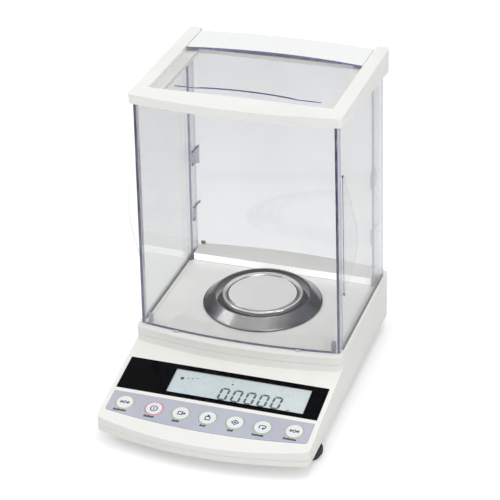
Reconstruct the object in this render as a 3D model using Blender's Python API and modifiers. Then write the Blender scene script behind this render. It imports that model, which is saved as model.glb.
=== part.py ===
"""Analytical balance with a sliding-door draught shield.

Units are metres. +X is the right-hand side seen from the front, +Y the back and +Z up. The origin is on
the surface that the balance stands on, under the middle of its footprint.
"""

import math

import bmesh
import bpy
from mathutils import Matrix, Vector

# ---- driving dimensions ----------------------------------------------------------------------------
GAP = 0.0003  # clearance between pieces that touch
PAN_Y = 0.050  # the weighing pan's centre
ARC_STEPS = 12  # straight pieces in each bowed front or back edge
ROUND_SIDES = 24

# housing: the front and back edges are bowed, and their y is given at the corners
BASE_HALF = 0.1060
BASE_FRONT = -0.1403
BASE_FRONT_BOW = 0.0157
BASE_BACK = 0.1470
BASE_BACK_BOW = 0.0090
UNDERSIDE = 0.0135
SEAM = 0.0200
WALL = 0.0025
CORNER = 0.0060
LOWER_EDGE = 0.0010  # rounding of the lower case's rims
CASE_EDGE = 0.0012
MECHANISM_HALF = 0.0880  # the opening under the deck that the weighing mechanism stands in
MECHANISM_FRONT = -0.0200
MECHANISM_BACK = 0.1300
DECK_HALF = 0.1058
DECK_FRONT = -0.0314
DECK_FRONT_BOW = 0.0105
DECK_UNDER = 0.0567
DECK_TOP = 0.0655
DECK_ROOF = 0.0035  # thickness of the deck over its hollow
SPINDLE_HOLE_RADIUS = 0.0120
FLOOR_HALF = 0.0965
FLOOR_FRONT = -0.0215
FLOOR_FRONT_BOW = 0.0080
FLOOR_BACK = 0.1105
FLOOR_CORNER = 0.0030
FLOOR_THICK = 0.0007
FLOOR_BED = 0.0010
FLOOR_HOLE_RADIUS = 0.0070
LEDGE_FRONT = 0.1110
LEDGE_TOP = 0.0737
LEDGE_EDGE = 0.0007
LEVEL_PLACE = (-0.0880, 0.1425)
LEVEL_RADIUS = 0.0040
LEVEL_BOTTOM = 0.0590
LEVEL_TOP = 0.0662
PORT_DEPTH = 0.0120
PORT_BACK_DEPTH = 0.0060  # how much further a port reaches behind its hole
PORTS = {
    # name: (x, face y, half width, low z, high z)
    "serial_port": (0.0400, 0.1515, 0.0155, 0.0320, 0.0445),
    "power_inlet": (0.0760, 0.1480, 0.0070, 0.0330, 0.0440),
}
INLET_BORE_RADIUS = 0.0031
INLET_BORE_DEPTH = 0.0100
SHELL_HALF = 0.0090  # the serial port's metal shell
SHELL_HALF_HEIGHT = 0.0042
SHELL_PROUD = 0.0025

# sloping control panel
PANEL_SLOPE = math.radians(10.8)
PANEL_TOP = 0.0503  # height of the panel where it meets the riser's corners
PANEL_WALL = 0.0030
PANEL_CUT = -0.0060  # how far the panel's holes are cut below its face
BEZEL_HALF = 0.1015
BEZEL_NEAR = 0.0692  # distances down the slope from the riser's corners
BEZEL_FAR = 0.0253
BEZEL_DEPTH = 0.0015
WINDOW_LEFT = -0.0522
WINDOW_RIGHT = 0.0862
WINDOW_NEAR = 0.0640
WINDOW_FAR = 0.0307
WINDOW_UNDER = -0.0007
LCD_BACK = -0.0060
LCD_FACE = -0.0040  # the display lies this far below the panel's face
LCD_MARGIN = 0.0040
DISPLAY_BOARD_EDGES = (-0.0620, 0.0940, 0.0690, 0.0260)  # left, right, near, far
DISPLAY_BOARD_HEIGHTS = (-0.0078, -0.0063)
KEY_BOARD_EDGES = (-0.0960, 0.0960, 0.0985, 0.0790)
KEY_BOARD_HEIGHTS = (-0.0068, -0.0052)
BOARD_EDGE = 0.0003
KEYPAD_HALF = 0.1010
KEYPAD_FAR = 0.0735
KEYPAD_NEAR = 0.1003
KEYPAD_BOW = 0.0080
KEYPAD_DEPTH = 0.0008
KEYPAD_CORNER = 0.0030
PANEL_PROUD = 0.0003
KEY_RADIUS = 0.0089
KEY_HOLE_RADIUS = 0.0092
KEY_TOP = 0.0007
KEY_EDGE = 0.0005
KEY_SKIRT = -0.0018
KEY_STEM_RADIUS = 0.0030
KEY_STEM_END = -0.0044
KEY_PITCH = 0.0272
END_KEY_X = 0.0850
KEY_DOWN_SLOPE = 0.0896
END_KEY_DOWN_SLOPE = 0.0877
KEY_NAMES = ("tare_left", "power", "print", "calibrate", "set", "function", "tare_right")

# draught shield: every pane leans in by this share of its x for each metre above the deck
LEAN = 0.145
PANE = 0.0026
PANE_BOTTOM = DECK_TOP + GAP
PANE_TOP = 0.3050
FRONT_PANE_HALF = 0.1026
FRONT_PANE_Y = -0.0245
FRONT_PANE_BOW = 0.0085
FRONT_RETURN_END = -0.0160
REAR_PANE_HALF = 0.1002
REAR_PANE_Y = 0.1346
REAR_PANE_BOW = 0.0090
REAR_RETURN_END = 0.1120
DOOR_OUTSIDE = 0.1032
DOOR_THICK = 0.0024
DOOR_FRONT = -0.0154
DOOR_BACK = 0.1360
DOOR_BOTTOM = 0.0640
DOOR_TRACK_FLOOR = 0.0635
DOOR_EDGE = 0.0004
PANE_CORNER = 0.0030
CLIP_INSIDE = 0.0925
CLIP_OUTSIDE = 0.0965
CLIP_FRONT = -0.0208
CLIP_BACK = -0.0168
CLIP_HEIGHT = 0.0095
CLIP_EDGE = 0.0006
GRIP_Y = -0.0110
GRIP_BOTTOM = 0.1230
GRIP_TOP = 0.2520
GRIP_REACH = 0.0120
GRIP_THICK = 0.0024
GRIP_ROOT = 0.0012  # how far the grip stands out at its ends
GRIP_STEPS = 12
GRIP_EDGE = 0.0005

# top frame and its sliding lid
FRAME_HALF = 0.1034
FRAME_FRONT = -0.0255
FRAME_FRONT_BOW = 0.0090
FRAME_BACK = 0.1466
FRAME_BACK_EDGE = 0.1370
FRAME_BACK_BOW = 0.0090
FRAME_TOP = 0.3150
SKIRT_FRONT = 0.3055
POCKET_TOP = 0.3060
SKIRT_BACK = 0.2902
SKIRT_WALL = 0.0028
FRAME_CORNER = 0.0045
FRAME_EDGE = 0.0016
FRAME_NOTCH_HALF = 0.0910  # the lid leaves the frame between two rails at the back
POCKET_CORNER = 0.0030
POCKET_BACK_WALL = 0.0016
DOOR_EXIT_INSIDE = 0.0960
DOOR_EXIT_FRONT = 0.1000
LID_TRACK_FLOOR = 0.3100
LID_TRACK_HALF = 0.0900
LID_TRACK_FRONT = -0.0060
OPENING_HALF = 0.0790
OPENING_FRONT = 0.0000
OPENING_BACK = 0.1050
LID_HALF = 0.0893
LID_THICK = 0.0024
LID_FRONT = -0.0050
LID_NOTCH_HALF = 0.0650
LID_NOTCH = 0.0070
LID_BACK_INSET = 0.0005
STRIP_FRONT = 0.0960
STRIP_BOW = 0.0080
STRIP_DROP = 0.0002

# weighing parts
PAN_RADIUS = 0.0414
PAN_TOP = 0.0767
PAN_FLAT_RADIUS = 0.0360
PAN_UNDERSIDE = 0.0731
PAN_SKIRT = 0.0712
PAN_RIM = 0.0014
SUPPORT_RADIUS = 0.0320
SUPPORT_TOP = 0.0728
SUPPORT_BOTTOM = 0.0664
RING_RADIUS = 0.0606
RING_TOP_RADIUS = 0.0490
RING_RISE = 0.0100
RING_SKIN = 0.0012
SPINDLE_RADIUS = 0.0040
SPINDLE_TOP = 0.0700
SPINDLE_FLANGE_RADIUS = 0.0090
SPINDLE_FLANGE = (0.0505, 0.0530)

# weighing mechanism
CHASSIS_LOW = (-0.0800, -0.0150, 0.0245)
CHASSIS_HIGH = (0.0800, 0.1150, 0.0300)
CHASSIS_WINDOW = (0.0240, 0.0450, 0.0000, 0.1000)  # inside and outside x, front and back y
CHASSIS_BOSSES = ((-0.070, -0.005), (0.070, -0.005), (-0.070, 0.105), (0.070, 0.105))
BOSS_RADIUS = 0.0070
BOSS_BOTTOM = 0.0163
BOSS_TOP = 0.0270
SENSOR_LOW = (-0.0140, 0.0380, 0.0303)
SENSOR_HIGH = (0.0140, 0.1100, 0.0500)
SENSOR_WINDOW = (0.0560, 0.0920, 0.0350, 0.0450)  # front and back y, low and high z
SENSOR_SLOT = (0.0060, 0.0016)
SENSOR_SLOT_YS = (0.0550, 0.0870)
SENSOR_SLOT_ZS = (0.0325, 0.0462)
SENSOR_RELIEF_BACK = 0.0800
SENSOR_RELIEF_TOP = 0.0320
STOP_LOW = (-0.0230, 0.0430, 0.0303)
STOP_HIGH = (0.0230, 0.0570, 0.0560)
STOP_ARCH_HALF = 0.0152
STOP_ARCH_TOP = 0.0535
STOP_CLEARANCE = 0.0010
BOARD_LOW = (-0.0780, -0.0950, 0.0235)
BOARD_HIGH = (0.0780, -0.0320, 0.0251)
CHIPS = (
    # x, y, half width, height
    (-0.050, -0.050, 0.010, 0.006),
    (-0.015, -0.060, 0.008, 0.003),
    (0.030, -0.055, 0.012, 0.008),
)

# levelling feet
FOOT_FRONT_X = 0.0945
FOOT_FRONT_Y = -0.1030
FOOT_BACK_X = 0.0850
FOOT_BACK_Y = 0.1230
KNOB_RADIUS = 0.0135
KNOB_EDGE = 0.0008
KNOB_BOTTOM = 0.0029
KNOB_TOP = 0.0092
KNOB_HUB_RADIUS = 0.0060
PAD_RADIUS = 0.0108
PAD_TOP = 0.0026
PAD_EDGE = 0.0008
STUD_RADIUS = 0.0030
STUD_TOP = 0.0210
STUD_EDGE = 0.0005
SCREW_X = 0.0623
SCREW_YS = (-0.1033, 0.1370)
SCREW_RADIUS = 0.0014
SCREW_HEAD_RADIUS = 0.0032
SCREW_LENGTH = 0.0130
SCREW_HEAD = (0.0004, 0.0027)  # from the underside of the case
SCREW_HOLE_RADIUS = 0.0019
SCREW_BOSS_RADIUS = 0.0060
SCREW_WELL_RADIUS = 0.0038
SCREW_WELL_DEPTH = 0.0030
POST_RADIUS = 0.0045
POST_BORE_RADIUS = 0.0017
POST_BORE_DEPTH = 0.0110

HUGE = 0.4  # reach of a cutter that has to pass right through

# ---- scene and collections -------------------------------------------------------------------------
for old in list(bpy.data.objects):
    bpy.data.objects.remove(old, do_unlink=True)

PARTS = bpy.data.collections.new("analytical_balance")
CUTTERS = bpy.data.collections.new("cutters")
bpy.context.scene.collection.children.link(PARTS)
bpy.context.scene.collection.children.link(CUTTERS)


# ---- materials -------------------------------------------------------------------------------------
def material(name, colour, roughness, metallic=0.0, alpha=1.0):
    made = bpy.data.materials.new(name)
    made.use_nodes = True
    shader = made.node_tree.nodes["Principled BSDF"]
    shader.inputs["Base Color"].default_value = (*colour, 1.0)
    shader.inputs["Roughness"].default_value = roughness
    shader.inputs["Metallic"].default_value = metallic
    shader.inputs["Alpha"].default_value = alpha
    return made


HOUSING = material("housing_plastic", (0.86, 0.84, 0.80), 0.42)
BLACK_GLOSS = material("black_panel", (0.010, 0.008, 0.016), 0.18)
KEYPAD_GREY = material("keypad_film", (0.48, 0.49, 0.58), 0.45)
KEY_WHITE = material("key_white", (0.88, 0.88, 0.86), 0.35)
LCD_GLASS = material("lcd_glass", (0.60, 0.68, 0.66), 0.15)
CLEAR = material("clear_acrylic", (0.90, 0.92, 0.98), 0.05, alpha=0.25)
FROSTED = material("frosted_acrylic", (0.88, 0.88, 0.88), 0.40, alpha=0.80)
STAINLESS = material("stainless_steel", (0.62, 0.61, 0.60), 0.25, metallic=1.0)
FLOOR_PAINT = material("floor_paint", (0.72, 0.69, 0.66), 0.45)
CAST_METAL = material("cast_aluminium", (0.55, 0.56, 0.57), 0.50, metallic=1.0)
SENSOR_METAL = material("sensor_alloy", (0.66, 0.66, 0.64), 0.30, metallic=1.0)
BOARD_GREEN = material("circuit_board", (0.03, 0.22, 0.10), 0.50)
BLACK_PLASTIC = material("black_plastic", (0.012, 0.012, 0.013), 0.50)
BLACK_RUBBER = material("black_rubber", (0.015, 0.015, 0.015), 0.85)
SCREW_STEEL = material("screw_steel", (0.50, 0.50, 0.50), 0.30, metallic=1.0)
LEVEL_GREEN = material("level_fluid", (0.55, 0.80, 0.25), 0.08, alpha=0.70)


# ---- shape helpers ---------------------------------------------------------------------------------
def add_object(name, mesh, surface):
    """A part when it has a material, and a hidden cutter when it has none."""
    made = bpy.data.objects.new(name, mesh)
    if surface is None:
        CUTTERS.objects.link(made)
        made.hide_render = True
        made.display_type = "WIRE"
    else:
        PARTS.objects.link(made)
        mesh.materials.append(surface)
    return made


def box(name, low, high, surface=None):
    low = Vector(low)
    high = Vector(high)
    shape = bmesh.new()
    bmesh.ops.create_cube(shape, size=1.0)
    bmesh.ops.scale(shape, vec=high - low, verts=shape.verts)
    bmesh.ops.translate(shape, vec=(low + high) / 2, verts=shape.verts)
    mesh = bpy.data.meshes.new(name)
    shape.to_mesh(mesh)
    shape.free()
    return add_object(name, mesh, surface)


def drum(name, centre, radius, bottom, top, surface=None, sides=ROUND_SIDES):
    """An upright cylinder at centre (x, y)."""
    shape = bmesh.new()
    bmesh.ops.create_cone(
        shape, cap_ends=True, segments=sides, radius1=radius, radius2=radius, depth=top - bottom
    )
    bmesh.ops.translate(shape, vec=(centre[0], centre[1], (bottom + top) / 2), verts=shape.verts)
    mesh = bpy.data.meshes.new(name)
    shape.to_mesh(mesh)
    shape.free()
    if surface is not None:
        smooth(mesh)
    return add_object(name, mesh, surface)


def smooth(mesh):
    mesh.shade_smooth()
    mesh.set_sharp_from_angle(angle=math.radians(35))


def prism(name, outlines, bottom, top, surface=None):
    """A flat plate of one outer outline and any holes, each a list of (x, y)."""
    curve = bpy.data.curves.new(name + "_outline", "CURVE")
    curve.dimensions = "2D"
    curve.fill_mode = "BOTH"
    curve.extrude = (top - bottom) / 2
    for outline in outlines:
        spline = curve.splines.new("POLY")
        spline.points.add(len(outline) - 1)
        for point, (x, y) in zip(spline.points, outline):
            point.co = (x, y, 0.0, 1.0)
        spline.use_cyclic_u = True
    guide = bpy.data.objects.new(name + "_outline", curve)
    guide.location.z = (top + bottom) / 2
    CUTTERS.objects.link(guide)
    bpy.context.view_layer.update()
    evaluated = guide.evaluated_get(bpy.context.evaluated_depsgraph_get())
    mesh = bpy.data.meshes.new_from_object(evaluated)
    mesh.transform(guide.matrix_world)
    bpy.data.objects.remove(guide, do_unlink=True)
    bpy.data.curves.remove(curve)
    shape = bmesh.new()
    shape.from_mesh(mesh)
    bmesh.ops.remove_doubles(shape, verts=shape.verts, dist=0.000001)
    bmesh.ops.recalc_face_normals(shape, faces=shape.faces)
    shape.to_mesh(mesh)
    shape.free()
    mesh.name = name
    return add_object(name, mesh, surface)


def wall(name, path, bottom, top, thickness, surface=None):
    """An upright sheet along an open path of (x, y), thickened to the path's left."""
    shape = bmesh.new()
    foot = [shape.verts.new((x, y, bottom)) for x, y in path]
    edges = [shape.edges.new(pair) for pair in zip(foot, foot[1:])]
    raised = bmesh.ops.extrude_edge_only(shape, edges=edges)["geom"]
    heads = [item for item in raised if isinstance(item, bmesh.types.BMVert)]
    bmesh.ops.translate(shape, vec=(0.0, 0.0, top - bottom), verts=heads)
    mesh = bpy.data.meshes.new(name)
    shape.to_mesh(mesh)
    shape.free()
    made = add_object(name, mesh, surface)
    skin = made.modifiers.new("thickness", "SOLIDIFY")
    skin.thickness = thickness
    skin.offset = -1.0
    skin.use_even_offset = True
    return made


def turned(name, profile, surface, centre=(0.0, 0.0), steps=48):
    """A closed profile of (radius, z) turned round an upright axis at centre."""
    shape = bmesh.new()
    corners = [shape.verts.new((radius, 0.0, z)) for radius, z in profile]
    for pair in zip(corners, corners[1:] + corners[:1]):
        shape.edges.new(pair)
    mesh = bpy.data.meshes.new(name)
    shape.to_mesh(mesh)
    shape.free()
    made = add_object(name, mesh, surface)
    made.location = (centre[0], centre[1], 0.0)
    screw = made.modifiers.new("turn", "SCREW")
    screw.steps = steps
    screw.render_steps = steps
    screw.use_merge_vertices = True
    screw.merge_threshold = 0.00001
    screw.use_smooth_shade = True
    screw.use_normal_calculate = True
    return made


def solid_turned(name, profile, surface, centre=(0.0, 0.0), steps=ROUND_SIDES):
    """An open profile of (radius, z), from the axis at the top round to the axis at the bottom."""
    shape = bmesh.new()
    corners = [shape.verts.new((radius, 0.0, z)) for radius, z in profile]
    for pair in zip(corners, corners[1:]):
        shape.edges.new(pair)
    mesh = bpy.data.meshes.new(name)
    shape.to_mesh(mesh)
    shape.free()
    made = add_object(name, mesh, surface)
    made.location = (centre[0], centre[1], 0.0)
    screw = made.modifiers.new("turn", "SCREW")
    screw.steps = steps
    screw.render_steps = steps
    screw.use_merge_vertices = True
    screw.merge_threshold = 0.00001
    screw.use_smooth_shade = True
    return made


def boolean(target, tool, operation):
    step = target.modifiers.new(tool.name, "BOOLEAN")
    step.operation = operation
    step.solver = "EXACT"
    step.object = tool
    return target


def cut(target, tool):
    return boolean(target, tool, "DIFFERENCE")


def join(target, tool):
    return boolean(target, tool, "UNION")


def soften(target, width, segments=2):
    """Rounds the edges that turn by more than a bowed edge's facets do."""
    step = target.modifiers.new("soften", "BEVEL")
    step.width = width
    step.segments = segments
    step.limit_method = "ANGLE"
    step.angle_limit = math.radians(40)
    step.harden_normals = False
    return target


def lean(target):
    """Leans an upright piece of the draught shield in towards the middle."""
    for vertex in target.data.vertices:
        vertex.co.x *= 1.0 - LEAN * (vertex.co.z - DECK_TOP)
    return target


def bowed(half, corner_y, bow, reach=None, steps=ARC_STEPS):
    """Points of a bowed edge from -reach to +reach, whose corners at +-half are at corner_y."""
    reach = half if reach is None else reach
    xs = [reach * (2 * i / steps - 1) for i in range(steps + 1)]
    return [(x, corner_y + bow * (1 - (x / half) ** 2)) for x in xs]


def rounded(start, corner, end, steps=4):
    """Points from start to end that round off a corner."""
    ts = [i / steps for i in range(steps + 1)]
    blend = [((1 - t) ** 2, 2 * t * (1 - t), t * t) for t in ts]
    return [
        tuple(a * start[k] + b * corner[k] + c * end[k] for k in (0, 1)) for a, b, c in blend
    ]


def outline(half, front, front_bow, back, back_bow, corner):
    """A plan outline with bowed front and back edges and rounded corners, anticlockwise."""
    reach = half - corner
    front_edge = bowed(half, front, -front_bow, reach)
    back_edge = bowed(half, back, back_bow, reach)[::-1]
    points = list(front_edge)
    points += rounded(front_edge[-1], (half, front), (half, front + corner))[1:]
    points += rounded((half, back - corner), (half, back), back_edge[0])[:-1]
    points += back_edge
    points += rounded(back_edge[-1], (-half, back), (-half, back - corner))[1:]
    points += rounded((-half, front + corner), (-half, front), front_edge[0])[:-1]
    return points


def empty(name, location, parent=None):
    made = bpy.data.objects.new(name, None)
    made.location = location
    made.empty_display_size = 0.01
    PARTS.objects.link(made)
    if parent is not None:
        made.parent = parent
    return made


def hang(child, parent):
    """Parents child to an object that has no parent of its own, and leaves it where it is."""
    child.parent = parent
    child.matrix_parent_inverse = parent.matrix_basis.inverted()


PANEL = Matrix.Translation((0.0, DECK_FRONT, PANEL_TOP)) @ Matrix.Rotation(PANEL_SLOPE, 4, "X")


def on_panel(target, x=0.0, down_slope=0.0):
    """Moves a piece built flat about the origin onto the control panel."""
    target.matrix_world = PANEL @ Matrix.Translation((x, -down_slope, 0.0))
    return target


# ---- housing ---------------------------------------------------------------------------------------
def base_outline(inset=0.0):
    corner = CORNER - inset / 2
    return outline(
        BASE_HALF - inset,
        BASE_FRONT + inset,
        BASE_FRONT_BOW,
        BASE_BACK - inset,
        BASE_BACK_BOW,
        corner,
    )


def deck_outline(inset=0.0):
    corner = CORNER - inset / 2
    return outline(
        DECK_HALF - inset,
        DECK_FRONT + inset,
        DECK_FRONT_BOW,
        BASE_BACK - inset,
        BASE_BACK_BOW,
        corner,
    )


def foot_places():
    return {
        "front_left": (-FOOT_FRONT_X, FOOT_FRONT_Y),
        "front_right": (FOOT_FRONT_X, FOOT_FRONT_Y),
        "back_left": (-FOOT_BACK_X, FOOT_BACK_Y),
        "back_right": (FOOT_BACK_X, FOOT_BACK_Y),
    }


def screw_places():
    return {
        "front_left": (-SCREW_X, SCREW_YS[0]),
        "front_right": (SCREW_X, SCREW_YS[0]),
        "back_left": (-SCREW_X, SCREW_YS[1]),
        "back_right": (SCREW_X, SCREW_YS[1]),
    }


def make_lower_case():
    case = prism("lower_case", [base_outline()], UNDERSIDE, SEAM, HOUSING)
    soften(case, LOWER_EDGE)
    pocket = prism("lower_pocket", [base_outline(WALL)], UNDERSIDE + WALL, HUGE)
    cut(case, pocket)
    for name, place in foot_places().items():
        cut(case, drum(f"{name}_stud_hole", place, STUD_RADIUS + GAP, 0.0, SEAM, sides=20))
    for name, place in screw_places().items():
        boss_bottom = UNDERSIDE + LOWER_EDGE
        join(case, drum(f"{name}_lower_boss", place, SCREW_BOSS_RADIUS, boss_bottom, SEAM, sides=20))
        cut(case, drum(f"{name}_screw_hole", place, SCREW_HOLE_RADIUS, 0.0, HUGE, sides=16))
        well_top = UNDERSIDE + SCREW_WELL_DEPTH
        cut(case, drum(f"{name}_head_well", place, SCREW_WELL_RADIUS, 0.0, well_top, sides=20))
    return case


def panel_half_space(name, height):
    """Everything above a plane parallel to the control panel and this far from it."""
    tool = box(name, (-HUGE, -HUGE, height), (HUGE, HUGE, HUGE))
    tool.matrix_world = PANEL
    return tool


def make_upper_case():
    """The sloping front panel and the body under the deck, open at the bottom."""
    case = prism("upper_case", [base_outline()], SEAM + GAP, DECK_UNDER, HOUSING)
    slope = panel_half_space("slope_cutter", 0.0)
    riser = prism("riser_keeper", [deck_outline()], 0.0, HUGE)
    cut(slope, riser)
    cut(case, slope)
    soften(case, CASE_EDGE)
    inside = prism("upper_pocket", [base_outline(WALL)], 0.0, DECK_UNDER - WALL)
    inner_slope = panel_half_space("inner_slope_cutter", -PANEL_WALL)
    inner_riser = prism("inner_riser_keeper", [deck_outline(PANEL_WALL)], 0.0, HUGE)
    cut(inner_slope, inner_riser)
    cut(inside, inner_slope)
    cut(case, inside)
    well = box(
        "mechanism_opening",
        (-MECHANISM_HALF, MECHANISM_FRONT, DECK_UNDER - 2 * WALL),
        (MECHANISM_HALF, MECHANISM_BACK, HUGE),
    )
    cut(case, well)
    for name, place in screw_places().items():
        roof = DECK_UNDER if place[1] > 0 else panel_height(place[1])
        top = roof - WALL / 2
        join(case, drum(f"{name}_upper_post", place, POST_RADIUS, SEAM + GAP, top, sides=20))
        bore_top = SEAM + POST_BORE_DEPTH
        cut(case, drum(f"{name}_post_bore", place, POST_BORE_RADIUS, 0.0, bore_top, sides=16))
    cut_panel(case)
    cut_back_openings(case)
    return case


def panel_height(y):
    return PANEL_TOP + (y - DECK_FRONT) * math.tan(PANEL_SLOPE)


def flat_rectangle(name, left, right, near, far, low, high, surface=None):
    """A plate parallel to the control panel, its sides given in the panel's own directions."""
    middle = (left + right) / 2
    down = (near + far) / 2
    half_x = (right - left) / 2
    half_y = (near - far) / 2
    made = box(name, (-half_x, -half_y, low), (half_x, half_y, high), surface)
    return on_panel(made, middle, down)


def keypad_outline(inset=0.0):
    half = KEYPAD_HALF - inset
    near = -KEYPAD_NEAR + inset
    far = -KEYPAD_FAR - inset
    corner = KEYPAD_CORNER
    edge = bowed(half, near, -KEYPAD_BOW, half - corner)
    points = list(edge)
    points += rounded(edge[-1], (half, near), (half, near + corner))[1:]
    points += [(half, far), (-half, far)]
    points += rounded((-half, near + corner), (-half, near), edge[0])[:-1]
    return points


def key_places():
    """(x, distance down the slope) of the seven keys, left to right."""
    inner = [(KEY_PITCH * i, KEY_DOWN_SLOPE) for i in range(-2, 3)]
    return [(-END_KEY_X, END_KEY_DOWN_SLOPE), *inner, (END_KEY_X, END_KEY_DOWN_SLOPE)]


def cut_panel(case):
    bezel_bed = flat_rectangle(
        "bezel_bed", -BEZEL_HALF, BEZEL_HALF, BEZEL_NEAR, BEZEL_FAR, -BEZEL_DEPTH, HUGE
    )
    cut(case, bezel_bed)
    window = flat_rectangle(
        "window_hole", WINDOW_LEFT, WINDOW_RIGHT, WINDOW_NEAR, WINDOW_FAR, PANEL_CUT, HUGE
    )
    cut(case, window)
    keypad_bed = on_panel(prism("keypad_bed", [keypad_outline()], -KEYPAD_DEPTH, HUGE))
    cut(case, keypad_bed)
    for name, (x, down) in zip(KEY_NAMES, key_places()):
        hole = drum(f"{name}_case_hole", (0.0, 0.0), KEY_HOLE_RADIUS, PANEL_CUT, -PANEL_CUT)
        cut(case, on_panel(hole, x, down))


def cut_back_openings(case):
    for name, (x, face, half, low, high) in PORTS.items():
        hole = box(
            f"{name}_hole",
            (x - half - GAP, face - PORT_DEPTH, low - GAP),
            (x + half + GAP, HUGE, high + GAP),
        )
        cut(case, hole)


def make_deck_cover():
    """The deck that the draught shield stands on, with tracks for the side doors."""
    deck = prism("deck_cover", [deck_outline()], DECK_UNDER + GAP, DECK_TOP, HOUSING)
    soften(deck, CASE_EDGE)
    inside = prism("deck_pocket", [deck_outline(WALL)], 0.0, DECK_TOP - DECK_ROOF)
    cut(deck, inside)
    bed = prism("plate_bed", [chamber_outline(-GAP)], DECK_TOP - FLOOR_BED, HUGE)
    cut(deck, bed)
    cut(deck, drum("spindle_deck_hole", (0.0, PAN_Y), SPINDLE_HOLE_RADIUS, 0.0, HUGE))
    cut(deck, drum("level_hole", LEVEL_PLACE, LEVEL_RADIUS + GAP, 0.0, HUGE, sides=24))
    inner = DOOR_OUTSIDE - DOOR_THICK - GAP
    outer = DOOR_OUTSIDE + GAP
    for side, sign in (("left", -1), ("right", 1)):
        low, high = sorted((sign * inner, sign * outer))
        track = box(
            f"{side}_door_track",
            (low, DOOR_FRONT - GAP, DOOR_TRACK_FLOOR),
            (high, HUGE, HUGE),
        )
        cut(deck, track)
    return deck


def chamber_outline(inset):
    return outline(
        FLOOR_HALF - inset,
        FLOOR_FRONT + inset,
        FLOOR_FRONT_BOW,
        FLOOR_BACK - inset,
        0.0,
        FLOOR_CORNER,
    )


def make_deck_pieces():
    under = DECK_TOP - FLOOR_THICK
    plate = prism("chamber_floor", [chamber_outline(0.0)], under, DECK_TOP, FLOOR_PAINT)
    cut(plate, drum("spindle_floor_hole", (0.0, PAN_Y), FLOOR_HOLE_RADIUS, 0.0, HUGE))
    back = REAR_PANE_Y - PANE - GAP
    points = [(-FLOOR_HALF, LEDGE_FRONT), (FLOOR_HALF, LEDGE_FRONT)]
    points += bowed(FLOOR_HALF, back, REAR_PANE_BOW - 2 * GAP)[::-1]
    ledge = prism("rear_ledge", [points], DECK_TOP + GAP, LEDGE_TOP, HOUSING)
    soften(ledge, LEDGE_EDGE)
    vial = drum("level_vial", LEVEL_PLACE, LEVEL_RADIUS, LEVEL_BOTTOM, LEVEL_TOP, LEVEL_GREEN)
    soften(vial, DOOR_EDGE)


# ---- control panel ---------------------------------------------------------------------------------
def make_display():
    bezel = flat_rectangle(
        "display_bezel",
        -BEZEL_HALF + GAP,
        BEZEL_HALF - GAP,
        BEZEL_NEAR - GAP,
        BEZEL_FAR + GAP,
        -BEZEL_DEPTH + GAP,
        PANEL_PROUD,
        BLACK_GLOSS,
    )
    hole = flat_rectangle(
        "bezel_window", WINDOW_LEFT, WINDOW_RIGHT, WINDOW_NEAR, WINDOW_FAR, PANEL_CUT, HUGE
    )
    cut(bezel, hole)
    edges = (WINDOW_LEFT + GAP, WINDOW_RIGHT - GAP, WINDOW_NEAR - GAP, WINDOW_FAR + GAP)
    flat_rectangle("display_window", *edges, WINDOW_UNDER, PANEL_PROUD - GAP / 3, CLEAR)
    lcd = flat_rectangle(
        "lcd_panel",
        WINDOW_LEFT - LCD_MARGIN,
        WINDOW_RIGHT + LCD_MARGIN,
        WINDOW_NEAR + LCD_MARGIN,
        WINDOW_FAR - LCD_MARGIN,
        LCD_BACK,
        -PANEL_WALL - GAP,
        LCD_GLASS,
    )
    cut(lcd, flat_rectangle("lcd_recess", *edges, LCD_FACE, HUGE))
    board = flat_rectangle("display_board", *DISPLAY_BOARD_EDGES, *DISPLAY_BOARD_HEIGHTS, BOARD_GREEN)
    soften(board, BOARD_EDGE, 1)


def make_keypad():
    film = prism("keypad_film", [keypad_outline(GAP)], -KEYPAD_DEPTH + GAP, PANEL_PROUD, KEYPAD_GREY)
    on_panel(film)
    for name, (x, down) in zip(KEY_NAMES, key_places()):
        hole = drum(f"{name}_film_hole", (0.0, 0.0), KEY_HOLE_RADIUS, PANEL_CUT, -PANEL_CUT)
        cut(film, on_panel(hole, x, down))
        key = solid_turned(f"key_{name}", key_profile(), KEY_WHITE)
        on_panel(key, x, down)
    board = flat_rectangle("key_board", *KEY_BOARD_EDGES, *KEY_BOARD_HEIGHTS, BOARD_GREEN)
    soften(board, BOARD_EDGE, 1)


def key_profile():
    """A round cap with a stem under it that works the switch."""
    return [
        (0.0, KEY_TOP),
        (KEY_RADIUS - KEY_EDGE, KEY_TOP),
        (KEY_RADIUS, KEY_TOP - KEY_EDGE),
        (KEY_RADIUS, KEY_SKIRT),
        (KEY_STEM_RADIUS, KEY_SKIRT),
        (KEY_STEM_RADIUS, KEY_STEM_END),
        (0.0, KEY_STEM_END),
    ]


# ---- mechanism inside the housing ------------------------------------------------------------------
def make_chassis():
    """A die-cast frame on four bosses, with a window on each side of the sensor."""
    chassis = box("chassis", CHASSIS_LOW, CHASSIS_HIGH, CAST_METAL)
    inside, outside, front, back = CHASSIS_WINDOW
    for side, sign in (("left", -1), ("right", 1)):
        low, high = sorted((sign * inside, sign * outside))
        cut(chassis, box(f"chassis_window_{side}", (low, front, 0.0), (high, back, HUGE)))
    for i, place in enumerate(CHASSIS_BOSSES):
        join(chassis, drum(f"chassis_boss_{i}", place, BOSS_RADIUS, BOSS_BOTTOM, BOSS_TOP, sides=20))
    return chassis


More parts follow.
